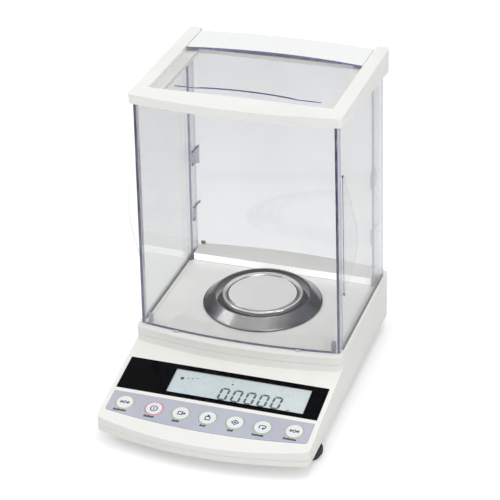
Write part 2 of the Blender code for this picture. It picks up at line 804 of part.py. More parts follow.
def make_sensor():
    """A force sensor machined from one block, thinned to four flexures by its slots."""
    sensor = box("force_sensor", SENSOR_LOW, SENSOR_HIGH, SENSOR_METAL)
    soften(sensor, CLIP_EDGE, 1)
    front, back, low, high = SENSOR_WINDOW
    cut(sensor, box("sensor_window", (-HUGE, front, low), (HUGE, back, high)))
    length, height = SENSOR_SLOT
    for z in SENSOR_SLOT_ZS:
        for y in SENSOR_SLOT_YS:
            slot = box(f"sensor_slot_{z}_{y}", (-HUGE, y, z), (HUGE, y + length, z + height))
            cut(sensor, slot)
    relief = box(
        "sensor_relief", (-HUGE, -HUGE, 0.0), (HUGE, SENSOR_RELIEF_BACK, SENSOR_RELIEF_TOP)
    )
    cut(sensor, relief)
    return sensor


def make_overload_stop():
    """An arch over the sensor's moving end that limits how far the spindle can rise."""
    stop = box("overload_stop", STOP_LOW, STOP_HIGH, CAST_METAL)
    arch = box("stop_arch", (-STOP_ARCH_HALF, -HUGE, 0.0), (STOP_ARCH_HALF, HUGE, STOP_ARCH_TOP))
    cut(stop, arch)
    hole = drum("stop_hole", (0.0, PAN_Y), SPINDLE_RADIUS + STOP_CLEARANCE, 0.0, HUGE)
    cut(stop, hole)
    return stop


def make_boards():
    board = box("main_board", BOARD_LOW, BOARD_HIGH, BOARD_GREEN)
    top = BOARD_HIGH[2]
    for i, (x, y, half, height) in enumerate(CHIPS):
        chip = box(f"chip_{i}", (x - half, y - half, top - WALL / 4), (x + half, y + half, top + height))
        join(board, chip)


def make_ports():
    for name, (x, face, half, low, high) in PORTS.items():
        back = face - PORT_DEPTH - PORT_BACK_DEPTH
        port = box(name, (x - half, back, low), (x + half, face, high), BLACK_PLASTIC)
        soften(port, DOOR_EDGE, 1)
        middle = (low + high) / 2
        if name == "power_inlet":
            depth = INLET_BORE_DEPTH
            bore = drum("inlet_bore", (0.0, 0.0), INLET_BORE_RADIUS, -depth, depth)
            turn = Matrix.Rotation(math.radians(90), 4, "X")
            bore.matrix_world = Matrix.Translation((x, face, middle)) @ turn
            cut(port, bore)
        else:
            shell = box(
                "port_shell",
                (x - SHELL_HALF, face - CASE_EDGE, middle - SHELL_HALF_HEIGHT),
                (x + SHELL_HALF, face + SHELL_PROUD, middle + SHELL_HALF_HEIGHT),
            )
            join(port, soften(shell, CASE_EDGE, 2))


# ---- weighing parts --------------------------------------------------------------------------------
def make_weighing_parts():
    centre = (0.0, PAN_Y)
    solid_turned("pan_spindle", spindle_profile(), STAINLESS, centre)
    solid_turned("pan_support", support_profile(), STAINLESS, centre)
    solid_turned("weighing_pan", pan_profile(), STAINLESS, centre, 48)
    turned("draught_ring", ring_profile(), STAINLESS, centre, 48)


def spindle_profile():
    """A pin with a coned top that rises from a flange on the sensor."""
    flange_bottom, flange_top = SPINDLE_FLANGE
    return [
        (0.0, SPINDLE_TOP),
        (SPINDLE_RADIUS - 0.0015, SPINDLE_TOP),
        (SPINDLE_RADIUS, SPINDLE_TOP - 0.0030),
        (SPINDLE_RADIUS, flange_top),
        (SPINDLE_FLANGE_RADIUS, flange_top),
        (SPINDLE_FLANGE_RADIUS, flange_bottom),
        (0.0, flange_bottom),
    ]


def support_profile():
    """A disc with a socket that drops over the spindle's cone."""
    socket = SPINDLE_RADIUS + 0.0004
    cone = SPINDLE_RADIUS - 0.0012
    return [
        (0.0, SUPPORT_TOP),
        (SUPPORT_RADIUS - 0.0020, SUPPORT_TOP),
        (SUPPORT_RADIUS, SUPPORT_TOP - 0.0012),
        (SUPPORT_RADIUS, SUPPORT_TOP - 0.0018),
        (socket + 0.0026, SUPPORT_TOP - 0.0024),
        (socket + 0.0021, SUPPORT_BOTTOM),
        (socket, SUPPORT_BOTTOM),
        (socket, SUPPORT_BOTTOM + 0.0008),
        (cone, SPINDLE_TOP + 0.0002),
        (cone, SPINDLE_TOP + 0.0006),
        (0.0, SPINDLE_TOP + 0.0006),
    ]


def pan_profile():
    """A pan with a flat middle, a rolled rim and a short skirt."""
    lift = PAN_TOP - PAN_RIM
    profile = [(0.0, lift), (PAN_FLAT_RADIUS, lift), (PAN_FLAT_RADIUS + 0.0022, PAN_TOP - GAP)]
    profile += rim_curve(PAN_RADIUS - PAN_RIM, PAN_TOP - PAN_RIM, PAN_RIM)
    profile += [
        (PAN_RADIUS - 0.0004, PAN_SKIRT),
        (PAN_RADIUS - 0.0014, PAN_SKIRT),
        (PAN_RADIUS - 0.0012, PAN_TOP - 0.0020),
        (PAN_FLAT_RADIUS + 0.0024, PAN_TOP - PAN_RIM),
        (PAN_FLAT_RADIUS, PAN_UNDERSIDE + 0.0010),
        (PAN_FLAT_RADIUS - 0.0030, PAN_UNDERSIDE),
        (0.0, PAN_UNDERSIDE),
    ]
    return profile


def ring_profile():
    """A thin cone with a lip at the bottom and a turned-down top edge."""
    foot = DECK_TOP + GAP
    top = foot + RING_RISE
    bore = RING_TOP_RADIUS - RING_SKIN
    return [
        (RING_TOP_RADIUS + 0.0006, top),
        (RING_RADIUS - 0.0010, foot + 0.0014),
        (RING_RADIUS, foot + 0.0008),
        (RING_RADIUS, foot),
        (RING_RADIUS - 0.0022, foot),
        (RING_TOP_RADIUS + 0.0002, top - 0.0020),
        (bore, top - 0.0018),
        (bore, top - 0.0006),
        (RING_TOP_RADIUS - 0.0004, top),
    ]


def rim_curve(radius, z, size, steps=4):
    """Points over the top of a rolled rim, inside to outside."""
    angles = [math.radians(110 - 130 * i / steps) for i in range(steps + 1)]
    return [(radius + size * math.cos(a), z + size * math.sin(a)) for a in angles]


# ---- draught shield --------------------------------------------------------------------------------
def u_path(half, end_y, corner_y, bow, corner):
    """A bowed edge with a return at each end, from the left return round to the right one."""
    direction = 1 if end_y > corner_y else -1
    edge = bowed(half, corner_y, -bow * direction, half - corner)
    left = rounded((-half, corner_y + corner * direction), (-half, corner_y), edge[0])[:-1]
    right = rounded(edge[-1], (half, corner_y), (half, corner_y + corner * direction))[1:]
    return [(-half, end_y), *left, *edge, *right, (half, end_y)]


def make_panes():
    path = u_path(FRONT_PANE_HALF, FRONT_RETURN_END, FRONT_PANE_Y, FRONT_PANE_BOW, PANE_CORNER)
    lean(wall("front_pane", path[::-1], PANE_BOTTOM, PANE_TOP, PANE, CLEAR))
    path = u_path(REAR_PANE_HALF, REAR_RETURN_END, REAR_PANE_Y, REAR_PANE_BOW, PANE_CORNER)
    lean(wall("rear_pane", path, PANE_BOTTOM, PANE_TOP, PANE, CLEAR))
    for side, sign in (("left", -1), ("right", 1)):
        low, high = sorted((sign * CLIP_INSIDE, sign * CLIP_OUTSIDE))
        clip = box(
            f"{side}_pane_clip",
            (low, CLIP_FRONT, DECK_TOP + GAP),
            (high, CLIP_BACK, DECK_TOP + CLIP_HEIGHT),
            BLACK_PLASTIC,
        )
        soften(clip, CLIP_EDGE)


def make_side_door(side, sign):
    axis = empty(f"{side}_door_slide", (sign * DOOR_OUTSIDE, DOOR_FRONT, DOOR_BOTTOM))
    inner = DOOR_OUTSIDE - DOOR_THICK
    low, high = sorted((sign * inner, sign * DOOR_OUTSIDE))
    pane = box(f"{side}_door", (low, DOOR_FRONT, DOOR_BOTTOM), (high, DOOR_BACK, PANE_TOP), CLEAR)
    lean(pane)
    soften(pane, DOOR_EDGE, 1)
    hang(pane, axis)
    hang(make_grip(side, sign), axis)


def make_grip(side, sign):
    """A crescent finger grip: straight against the door, and bowed outwards."""
    span = GRIP_TOP - GRIP_BOTTOM
    outer = []
    for i in range(GRIP_STEPS + 1):
        share = i / GRIP_STEPS
        height = GRIP_BOTTOM + span * share
        reach = GRIP_ROOT + GRIP_REACH * math.sin(math.pi * share) ** 1.3
        outer.append((height, reach))
    points = [(outer[0][0], 0.0), *outer, (outer[-1][0], 0.0)]
    grip = prism(f"{side}_door_grip", [points], 0.0, GRIP_THICK, CLEAR)
    for vertex in grip.data.vertices:
        height, reach, thick = vertex.co
        face = (DOOR_OUTSIDE + GAP) * (1.0 - LEAN * (height - DECK_TOP))
        vertex.co = (sign * (face + reach), GRIP_Y - GRIP_THICK / 2 + thick, height)
    face_out(grip.data)
    soften(grip, GRIP_EDGE, 1)
    return grip


def face_out(mesh):
    shape = bmesh.new()
    shape.from_mesh(mesh)
    bmesh.ops.recalc_face_normals(shape, faces=shape.faces)
    shape.to_mesh(mesh)
    shape.free()


def make_top_frame():
    """The white frame over the panes: a skirt that deepens to the back, lid tracks and an opening."""
    plan = outline(FRAME_HALF, FRAME_FRONT, FRAME_FRONT_BOW, FRAME_BACK, 0.0, FRAME_CORNER)
    frame = prism("top_frame", [plan], SKIRT_BACK - SKIRT_WALL, FRAME_TOP, HOUSING)
    under = box("skirt_cutter", (-HUGE, -HUGE, -HUGE), (HUGE, HUGE, 0.0))
    fall = math.atan2(SKIRT_FRONT - SKIRT_BACK, FRAME_BACK - FRAME_FRONT)
    place = Matrix.Translation((0.0, FRAME_FRONT, SKIRT_FRONT))
    under.matrix_world = place @ Matrix.Rotation(-fall, 4, "X")
    cut(frame, under)
    back = bowed(FRAME_HALF, FRAME_BACK_EDGE, FRAME_BACK_BOW, FRAME_NOTCH_HALF)
    behind = [(FRAME_NOTCH_HALF, HUGE), (-FRAME_NOTCH_HALF, HUGE)]
    notch = prism("frame_back_notch", [[*back, *behind]], 0.0, HUGE)
    cut(frame, notch)
    soften(frame, FRAME_EDGE)
    inner = outline(
        FRAME_HALF - SKIRT_WALL,
        FRAME_FRONT + SKIRT_WALL,
        FRAME_FRONT_BOW,
        FRAME_BACK_EDGE - POCKET_BACK_WALL,
        FRAME_BACK_BOW,
        POCKET_CORNER,
    )
    cut(frame, prism("frame_pocket", [inner], 0.0, POCKET_TOP))
    for side, sign in (("left", -1), ("right", 1)):
        low, high = sorted((sign * DOOR_EXIT_INSIDE, sign * (FRAME_HALF - SKIRT_WALL)))
        slot = box(f"{side}_door_exit", (low, DOOR_EXIT_FRONT, 0.0), (high, HUGE, POCKET_TOP))
        cut(frame, slot)
    track = box(
        "lid_track",
        (-LID_TRACK_HALF, LID_TRACK_FRONT, LID_TRACK_FLOOR),
        (LID_TRACK_HALF, HUGE, HUGE),
    )
    cut(frame, track)
    opening = box(
        "top_opening", (-OPENING_HALF, OPENING_FRONT, 0.0), (OPENING_HALF, OPENING_BACK, HUGE)
    )
    cut(frame, opening)
    return frame


def make_lid():
    """The clear lid, with a shallow finger notch in its front edge and a handle strip at the back."""
    axis = empty("lid_slide", (0.0, LID_TRACK_FRONT, LID_TRACK_FLOOR))
    notch = bowed(LID_NOTCH_HALF, LID_FRONT, LID_NOTCH, steps=10)
    back = bowed(FRAME_HALF, FRAME_BACK_EDGE - LID_BACK_INSET, FRAME_BACK_BOW, LID_HALF)[::-1]
    points = [(-LID_HALF, LID_FRONT), *notch, (LID_HALF, LID_FRONT), *back]
    bottom = LID_TRACK_FLOOR + GAP
    lid = prism("lid_pane", [points], bottom, bottom + LID_THICK, CLEAR)
    strip_front = bowed(LID_HALF, STRIP_FRONT, STRIP_BOW)
    strip_bottom = bottom + LID_THICK + GAP
    strip_top = FRAME_TOP - STRIP_DROP
    strip = prism("lid_handle", [[*strip_front, *back]], strip_bottom, strip_top, FROSTED)
    soften(strip, DOOR_EDGE, 1)
    hang(lid, axis)
    hang(strip, axis)


# ---- feet and fasteners ----------------------------------------------------------------------------
def make_feet():
    for name, place in foot_places().items():
        pad = [
            (0.0, PAD_TOP),
            (PAD_RADIUS - PAD_EDGE, PAD_TOP),
            (PAD_RADIUS, PAD_TOP - PAD_EDGE),
            (PAD_RADIUS, 0.0),
            (0.0, 0.0),
        ]
        solid_turned(f"foot_pad_{name}", pad, BLACK_RUBBER, place, 20)
        knob = [
            (0.0, STUD_TOP),
            (STUD_RADIUS - STUD_EDGE, STUD_TOP),
            (STUD_RADIUS, STUD_TOP - STUD_EDGE),
            (STUD_RADIUS, KNOB_TOP + KNOB_EDGE),
            (KNOB_HUB_RADIUS, KNOB_TOP + KNOB_EDGE),
            (KNOB_RADIUS - KNOB_EDGE, KNOB_TOP),
            (KNOB_RADIUS, KNOB_TOP - KNOB_EDGE),
            (KNOB_RADIUS, KNOB_BOTTOM + KNOB_EDGE),
            (KNOB_RADIUS - KNOB_EDGE, KNOB_BOTTOM),
            (0.0, KNOB_BOTTOM),
        ]
        solid_turned(f"foot_knob_{name}", knob, BLACK_PLASTIC, place, 20)


def make_screws():
    head_low, head_top = (UNDERSIDE + height for height in SCREW_HEAD)
    tip = UNDERSIDE + SCREW_LENGTH
    for name, place in screw_places().items():
        screw = [
            (0.0, tip),
            (SCREW_RADIUS - 0.0004, tip),
            (SCREW_RADIUS, tip - 0.0008),
            (SCREW_RADIUS, head_top),
            (SCREW_HEAD_RADIUS, head_top),
            (SCREW_HEAD_RADIUS, head_low + 0.0006),
            (SCREW_HEAD_RADIUS - 0.0006, head_low),
            (0.0, head_low),
        ]
        solid_turned(f"case_screw_{name}", screw, SCREW_STEEL, place, 12)


def build():
    make_lower_case()
    make_upper_case()
    make_deck_cover()
    make_deck_pieces()
    make_display()
    make_keypad()
    make_chassis()
    make_sensor()
    make_overload_stop()
    make_boards()
    make_ports()
    make_weighing_parts()
    make_panes()
    make_side_door("left", -1)
    make_side_door("right", 1)
    make_top_frame()
    make_lid()
    make_feet()
    make_screws()


build()
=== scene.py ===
import math

import bmesh
import bpy
from mathutils import Matrix, Vector


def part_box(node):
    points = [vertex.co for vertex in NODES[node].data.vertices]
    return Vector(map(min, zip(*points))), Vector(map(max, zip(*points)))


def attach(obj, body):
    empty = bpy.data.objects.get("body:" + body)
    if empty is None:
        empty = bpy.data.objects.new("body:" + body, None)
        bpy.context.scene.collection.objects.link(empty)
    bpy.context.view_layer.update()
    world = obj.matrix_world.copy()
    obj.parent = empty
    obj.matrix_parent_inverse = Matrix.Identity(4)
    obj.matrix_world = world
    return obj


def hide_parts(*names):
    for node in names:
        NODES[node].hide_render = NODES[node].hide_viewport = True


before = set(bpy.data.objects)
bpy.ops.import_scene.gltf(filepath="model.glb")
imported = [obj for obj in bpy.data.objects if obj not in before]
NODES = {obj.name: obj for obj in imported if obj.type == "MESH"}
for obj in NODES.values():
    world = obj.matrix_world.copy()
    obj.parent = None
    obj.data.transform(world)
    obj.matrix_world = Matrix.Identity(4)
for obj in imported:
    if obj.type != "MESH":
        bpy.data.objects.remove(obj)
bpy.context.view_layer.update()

# ---- sizes shared with the model, in metres ----
DECK_TOP = 0.0655
PANE_TOP = 0.3050
LEAN = 0.145  # how much narrower the chamber gets with each metre of height
PANEL = Matrix.Translation((0.0, -0.0314, 0.0503)) @ Matrix.Rotation(math.radians(10.8), 4, "X")
SHEET_FACE = -0.0009  # the polarising sheet bonded under the display window
FILM_TOP = 0.0003
KEY_RADIUS = 0.0089
KEY_TOP = 0.0007
END_KEY_X = 0.0850
KEY_PITCH = 0.0272
KEY_DOWN = 0.0896
END_KEY_DOWN = 0.0877
PAN_Y = 0.0500
SIDES = (("left", -1), ("right", 1))
PLACES = ("front_left", "front_right", "back_left", "back_right")
KEYS = {
    # name: (x, distance down the panel, ring colour, sign, strokes in its caption)
    "tare_left": (-END_KEY_X, END_KEY_DOWN, "olive", "zero", 9),
    "power": (-2 * KEY_PITCH, KEY_DOWN, "red", "power", 7),
    "print": (-KEY_PITCH, KEY_DOWN, "green", "sheet", 5),
    "calibrate": (0.0, KEY_DOWN, "green", "weight", 4),
    "set": (KEY_PITCH, KEY_DOWN, "green", "diamond", 4),
    "function": (2 * KEY_PITCH, KEY_DOWN, "green", "cycle", 8),
    "tare_right": (END_KEY_X, END_KEY_DOWN, "olive", "zero", 9),
}


def tone(red, green, blue):
    """A colour from its display values, 0 to 255."""
    parts = [((v / 255 + 0.055) / 1.055) ** 2.4 for v in (red, green, blue)]
    return (*parts, 1.0)


def dimmed(colour, share):
    return (*(part * share for part in colour[:3]), 1.0)


# ---- node trees ----


class Recipe:
    """Adds nodes to one node tree and links them."""

    def __init__(self, tree):
        self.tree = tree

    def node(self, kind, inputs=None, **settings):
        made = self.tree.nodes.new(kind)
        for key, value in settings.items():
            setattr(made, key, value)
        for key, value in (inputs or {}).items():
            if isinstance(value, bpy.types.NodeSocket):
                self.tree.links.new(value, made.inputs[key])
            else:
                made.inputs[key].default_value = value
        return made

    def math(self, operation, *values):
        inputs = dict(enumerate(values))
        return self.node("ShaderNodeMath", inputs, operation=operation).outputs[0]

    def parts(self, vector):
        return self.node("ShaderNodeSeparateXYZ", {0: vector}).outputs

    def spread(self, value, low, high, to_low=0.0, to_high=1.0):
        """Maps the values from low to high onto to_low to to_high."""
        inputs = {0: value, 1: low, 2: high, 3: to_low, 4: to_high}
        return self.node("ShaderNodeMapRange", inputs).outputs[0]

    def mixed(self, share, first, second):
        return self.node("ShaderNodeMixShader", {0: share, 1: first, 2: second}).outputs[0]


class Look(Recipe):
    """One procedural material, drawn in the piece's own space."""

    def __init__(self, name):
        self.material = bpy.data.materials.new(name)
        self.material.use_nodes = True
        super().__init__(self.material.node_tree)
        self.tree.nodes.clear()
        self.place = self.node("ShaderNodeTexCoord").outputs["Object"]

    def noise(self, scale, detail=3.0, stretch=None, place=None):
        place = place or self.place
        if stretch:
            inputs = {0: place, 1: stretch}
            place = self.node("ShaderNodeVectorMath", inputs, operation="MULTIPLY").outputs[0]
        inputs = {"Vector": place, "Scale": scale, "Detail": detail}
        return self.node("ShaderNodeTexNoise", inputs).outputs["Fac"]

    def blend(self, share, first, second):
        inputs = {0: share, 6: first, 7: second}
        return self.node("ShaderNodeMix", inputs, data_type="RGBA").outputs[2]

    def clouded(self, scale, first, second, detail=4.0):
        """Two tones in soft patches."""
        cloud = self.spread(self.noise(scale, detail), 0.35, 0.65)
        return self.blend(cloud, first, second)

    def bump(self, height, distance, strength=1.0, normal=None):
        inputs = {"Height": height, "Distance": distance, "Strength": strength}
        if normal:
            inputs["Normal"] = normal
        return self.node("ShaderNodeBump", inputs).outputs[0]

    def edges(self, radius):
        """1 along the piece's edges, 0 on its faces."""
        soft = self.node("ShaderNodeBevel", {"Radius": radius}, samples=4).outputs[0]
        flat = self.node("ShaderNodeNewGeometry").outputs["Normal"]
        inputs = {0: soft, 1: flat}
        dot = self.node("ShaderNodeVectorMath", inputs, operation="DOT_PRODUCT").outputs["Value"]
        return self.spread(dot, 0.998, 0.930)

    def rings(self, centre, pitch):
        """Fine circles round a vertical axis, as a lathe leaves them."""
        x, y, _ = self.parts(self.place)
        dx = self.math("SUBTRACT", x, centre[0])
        dy = self.math("SUBTRACT", y, centre[1])
        squares = self.math("ADD", self.math("POWER", dx, 2.0), self.math("POWER", dy, 2.0))
        line = self.node("ShaderNodeCombineXYZ", {0: self.math("SQRT", squares)}).outputs[0]
        return self.noise(1.0 / pitch, detail=2.0, place=line)

    def principled(self, colour, **inputs):
        values = {"Base Color": colour}
        for key, value in inputs.items():
            values[key.replace("_", " ").title().replace("Ior", "IOR")] = value
        return self.node("ShaderNodeBsdfPrincipled", values).outputs[0]

    def finish(self, shader):
        self.node("ShaderNodeOutputMaterial", {"Surface": shader})
        return self.material

    def coated(self, colour, **inputs):
        """The finished material, with one principled surface."""
        return self.finish(self.principled(colour, **inputs))


# ---- materials ----


def moulded(name, colour, rubbed_and_lit, roughness, grain, relief, rub_and_highlight=0.5, glow=0.0):
    """Moulded plastic in display values: clouding, a spark texture, and edges painted brighter, part wear
    and part painted highlight.
    """
    look = Look(name)
    colour, rubbed_and_lit = tone(*colour), tone(*rubbed_and_lit)
    base = look.clouded(14.0, dimmed(colour, 0.965), colour)
    speck = look.spread(look.noise(420.0, 2.0), 0.60, 0.78, 0.0, 0.10)
    base = look.blend(speck, base, dimmed(colour, 0.80))
    # Brighter edges: part wear, part painted highlight.
    edge = look.math("MULTIPLY", look.edges(0.0011), rub_and_highlight)
    base = look.blend(edge, base, rubbed_and_lit)
    handled = look.spread(look.noise(55.0, 3.0), 0.30, 0.70, roughness - 0.06, roughness + 0.07)
    normal = look.bump(look.noise(grain, 2.0), relief, 0.6)
    inputs = {"roughness": handled, "normal": normal}
    # glow makes the plastic emit light though it is no lamp: painted light
    if glow:
        inputs.update(emission_color=colour, emission_strength=glow)
    return look.coated(base, **inputs)


def gloss_black():
    """A glossy printed panel with a soft waviness, fine dust and hairline marks."""
    look = Look("gloss_black")
    dust = look.spread(look.noise(900.0, 2.0), 0.68, 0.80, 0.0, 0.18)
    base = look.blend(dust, tone(5, 5, 7), tone(40, 42, 48))
    marks = look.noise(240.0, 2.0, stretch=(1.0, 0.08, 0.08))
    rough = look.spread(marks, 0.45, 0.75, 0.14, 0.26)
    normal = look.bump(look.noise(45.0, 2.0), 0.00008, 0.35)
    return look.coated(base, roughness=rough, normal=normal, specular_ior_level=0.05)


def painted_floor():
    """Enamel on sheet steel, with an orange-peel surface."""
    look = Look("floor_enamel")
    base = look.clouded(18.0, tone(238, 237, 233), tone(246, 245, 241))
    rough = look.spread(look.noise(90.0, 3.0), 0.3, 0.7, 0.30, 0.44)
    normal = look.bump(look.noise(520.0, 2.0), 0.00006, 0.5)
    return look.coated(base, roughness=rough, normal=normal)


def turned_steel(name, colour, low, high, pitch, relief, metal=1.0, side_shade=None):
    """Turned steel with circular grain. An optional darker colour is painted on its two sides: painted
    shade.
    """
    look = Look(name)
    grain = look.rings((0.0, PAN_Y), pitch)
    base = look.clouded(30.0, dimmed(colour, 0.94), colour)
    base = look.blend(look.spread(grain, 0.4, 0.6, 0.0, 0.12), base, dimmed(colour, 0.72))
    # Painted shade: away from x = 0 the two sides darken to the given colour.
    if side_shade:
        across = look.math("ABSOLUTE", look.parts(look.place)[0])
        base = look.blend(look.spread(across, 0.018, 0.046), base, side_shade)
    rough = look.spread(grain, 0.35, 0.65, low, high)
    inputs = {"metallic": metal, "roughness": rough, "normal": look.bump(grain, relief, 0.5)}
    if side_shade:
        round_axis = look.node("ShaderNodeTangent", direction_type="RADIAL", axis="Z").outputs[0]
        inputs.update(anisotropic=0.6, anisotropic_rotation=0.25, tangent=round_axis)
    return look.coated(base, **inputs)


def cast_metal(name, colour, roughness, scale):
    """Bare die-cast or machined metal with a mottled, slightly pitted skin."""
    look = Look(name)
    base = look.clouded(scale, dimmed(colour, 0.86), colour, detail=5.0)
    # Brighter edges: part wear, part painted highlight.
    base = look.blend(look.math("MULTIPLY", look.edges(0.0006), 0.5), base, dimmed(colour, 1.15))
    rough = look.spread(look.noise(scale * 4, 3.0), 0.3, 0.7, roughness - 0.08, roughness + 0.10)
    normal = look.bump(look.noise(scale * 12, 3.0), 0.00005, 0.5)
    return look.coated(base, metallic=1.0, roughness=rough, normal=normal)


def acrylic(name, tint, low_tint=None):
    """One surface of a clear acrylic sheet: tinted for the camera, and reflecting more at a glance."""
    look = Look(name)
    height = look.parts(look.place)[2]
    smear = look.spread(look.noise(22.0, 4.0, stretch=(1.0, 1.0, 0.5)), 0.40, 0.75)
    tint_high = look.blend(smear, tint, dimmed(tint, 0.980))
    # Where low_tint is given, the tint darkens from it at the deck to tint at the pane tops: painted
    # shade.
    rise = look.spread(height, DECK_TOP, PANE_TOP)
    colour = look.blend(rise, low_tint or tint, tint_high)
    seen = look.node("ShaderNodeLightPath").outputs["Is Camera Ray"]
    colour = look.blend(seen, (0.99, 0.99, 0.99, 1.0), colour)
    through = look.node("ShaderNodeBsdfTransparent", {"Color": colour}).outputs[0]
    facing = look.node("ShaderNodeLayerWeight", {"Blend": 0.5}).outputs["Facing"]
    mirror = look.math("MULTIPLY_ADD", look.math("POWER", facing, 5.0), 0.96, 0.04)
    rough = look.spread(smear, 0.0, 1.0, 0.02, 0.07)
    inputs = {"Color": (1.0, 1.0, 1.0, 1.0), "Roughness": rough}
    gloss = look.node("ShaderNodeBsdfGlossy", inputs).outputs[0]
    return look.finish(look.mixed(mirror, through, gloss))


def sheet_edge(name, upper, lower, upper_share, lower_share):
    """The cut or bent edge of an acrylic sheet in its tint, painted darker and less clear towards the
    top: painted shade.
    """
    look = Look(name)
    height = look.parts(look.place)[2]
    rise = look.spread(height, 0.110, 0.215)
    saw = look.noise(700.0, 2.0, stretch=(1.0, 1.0, 0.12))
    # Darker towards the top: painted shade.
    colour = look.blend(rise, lower, upper)
    colour = look.blend(look.spread(saw, 0.45, 0.70, 0.0, 0.25), colour, tone(206, 208, 220))
    share = look.spread(rise, 0.0, 1.0, lower_share, upper_share)
    solid = look.principled(colour, roughness=look.spread(saw, 0.3, 0.7, 0.12, 0.30))
    clear = look.node("ShaderNodeBsdfTransparent", {"Color": (0.90, 0.91, 0.95, 1.0)}).outputs[0]
    return look.finish(look.mixed(share, clear, solid))


def frosted():
    """Milky acrylic with a satin skin."""
    look = Look("frosted_acrylic")
    mist = look.spread(look.noise(700.0, 3.0), 0.35, 0.65)
    base = look.blend(mist, tone(243, 244, 243), tone(247, 247, 246))
    normal = look.bump(look.noise(1500.0, 2.0), 0.00003, 0.5)
    rough = look.spread(mist, 0.0, 1.0, 0.42, 0.56)
    milk = look.principled(base, roughness=rough, normal=normal)
    clear = look.node("ShaderNodeBsdfTransparent", {"Color": (0.93, 0.94, 0.95, 1.0)}).outputs[0]
    return look.finish(look.mixed(look.spread(mist, 0.0, 1.0, 0.92, 0.95), clear, milk))


def lcd_glass():
    """Grey-green polarised glass over a fine mesh of dots."""
    look = Look("lcd_glass")
    across = look.parts(look.place)[0]
    # Darker towards the left and lighter towards the right: painted shade.
    side = look.spread(across, -0.052, 0.086)
    base = look.blend(side, tone(203, 214, 217), tone(214, 224, 222))
    dots = look.spread(look.noise(1600.0, 1.0), 0.55, 0.72, 0.0, 0.16)
    base = look.blend(dots, base, tone(168, 182, 188))
    cloud = look.spread(look.noise(60.0, 3.0), 0.4, 0.7, 0.0, 0.20)
    base = look.blend(cloud, base, tone(226, 233, 232))
    rough = look.spread(look.noise(300.0, 2.0), 0.3, 0.7, 0.24, 0.36)
    normal = look.bump(look.noise(1600.0, 1.0), 0.00001, 0.3)
    return look.coated(base, roughness=rough, normal=normal)


def printed(name, colour, roughness=0.45):
    """Ink, slightly uneven as a screen print is."""
    look = Look(name)
    patch = look.spread(look.noise(1300.0, 2.0), 0.45, 0.75)
    base = look.blend(patch, colour, dimmed(colour, 1.25))
    rough = look.spread(patch, 0.0, 1.0, roughness, roughness + 0.12)
    normal = look.bump(look.noise(2400.0, 2.0), 0.00001, 0.4)
    return look.coated(base, roughness=rough, normal=normal)


def keypad_print():
    """Matt lavender film with a fine silk texture."""
    look = Look("keypad_print")
    base = look.clouded(26.0, tone(176, 178, 190), tone(182, 184, 195))
    silk = look.noise(1500.0, 2.0)
    base = look.blend(look.spread(silk, 0.55, 0.75, 0.0, 0.15), base, tone(212, 213, 220))
    rough = look.spread(silk, 0.3, 0.7, 0.48, 0.62)
    normal = look.bump(silk, 0.00002, 0.5)
    return look.coated(base, roughness=rough, normal=normal)


def board():
    """Green solder mask with tracks showing through it."""
    look = Look("solder_mask")
    tracks = look.node(
        "ShaderNodeTexBrick",
        {"Vector": look.place, "Scale": 130.0, "Mortar Size": 0.05, "Mortar Smooth": 0.2},
    ).outputs["Fac"]
    cloud = look.spread(look.noise(80.0, 3.0), 0.35, 0.65)
    base = look.blend(cloud, tone(22, 84, 48), tone(30, 100, 58))
    base = look.blend(look.math("MULTIPLY", tracks, 0.6), base, tone(64, 138, 84))
    rough = look.spread(cloud, 0.0, 1.0, 0.30, 0.42)
    normal = look.bump(tracks, 0.00004, 0.5)
    return look.coated(base, roughness=rough, normal=normal)


def fluid():
    """Yellow-green spirit under a clear dome."""
    look = Look("level_fluid")
    cloud = look.spread(look.noise(200.0, 2.0), 0.35, 0.65)
    base = look.blend(cloud, tone(176, 206, 72), tone(196, 220, 96))
    rough = look.spread(cloud, 0.0, 1.0, 0.08, 0.14)
    return look.coated(base, roughness=rough, coat_weight=0.5)


HOUSING = moulded("warm_white_plastic", (235, 234, 229), (250, 250, 247), 0.42, 2300.0, 0.00004)
FRAME_WHITE = moulded("frame_plastic", (241, 240, 236), (251, 251, 249), 0.38, 2300.0, 0.00003)
LOWER_WHITE = moulded("lower_case_plastic", (233, 232, 226), (246, 246, 242), 0.46, 2300.0, 0.00004)
# The ledge plastic glows: painted light, so that its faces look brightly lit.
LEDGE_PAINTED_LIGHT = moulded("ledge_painted_light", (252, 252, 250), (255, 255, 254), 0.40, 2300.0, 0.00003, glow=0.55)
BLACK_PLASTIC = moulded("black_plastic", (34, 34, 37), (74, 75, 80), 0.44, 1900.0, 0.00005)
WELL_BLACK = moulded("well_plastic", (5, 5, 6), (9, 9, 11), 0.78, 1900.0, 0.00002, rub_and_highlight=0.2)
RUBBER = moulded("black_rubber", (28, 28, 29), (48, 48, 50), 0.72, 1200.0, 0.00008, rub_and_highlight=0.3)
CLIP_GREY = moulded("clip_plastic", (86, 88, 96), (128, 130, 140), 0.40, 1900.0, 0.00004)
PALE_GREY = moulded("pale_clip_plastic", (188, 190, 198), (206, 208, 214), 0.40, 1900.0, 0.00004)
KEY_WHITE = moulded("key_plastic", (228, 228, 233), (240, 240, 244), 0.36, 2600.0, 0.00002, rub_and_highlight=0.3)
GLOSS_BLACK = gloss_black()
FLOOR_ENAMEL = painted_floor()
PAN_STEEL = turned_steel("pan_steel", (0.96, 0.95, 0.925, 1.0), 0.36, 0.46, 0.00045, 0.00002, 0.40)
RIM_STEEL = turned_steel("polished_rim_steel", (0.82, 0.815, 0.805, 1.0), 0.12, 0.20, 0.00030, 0.000004)
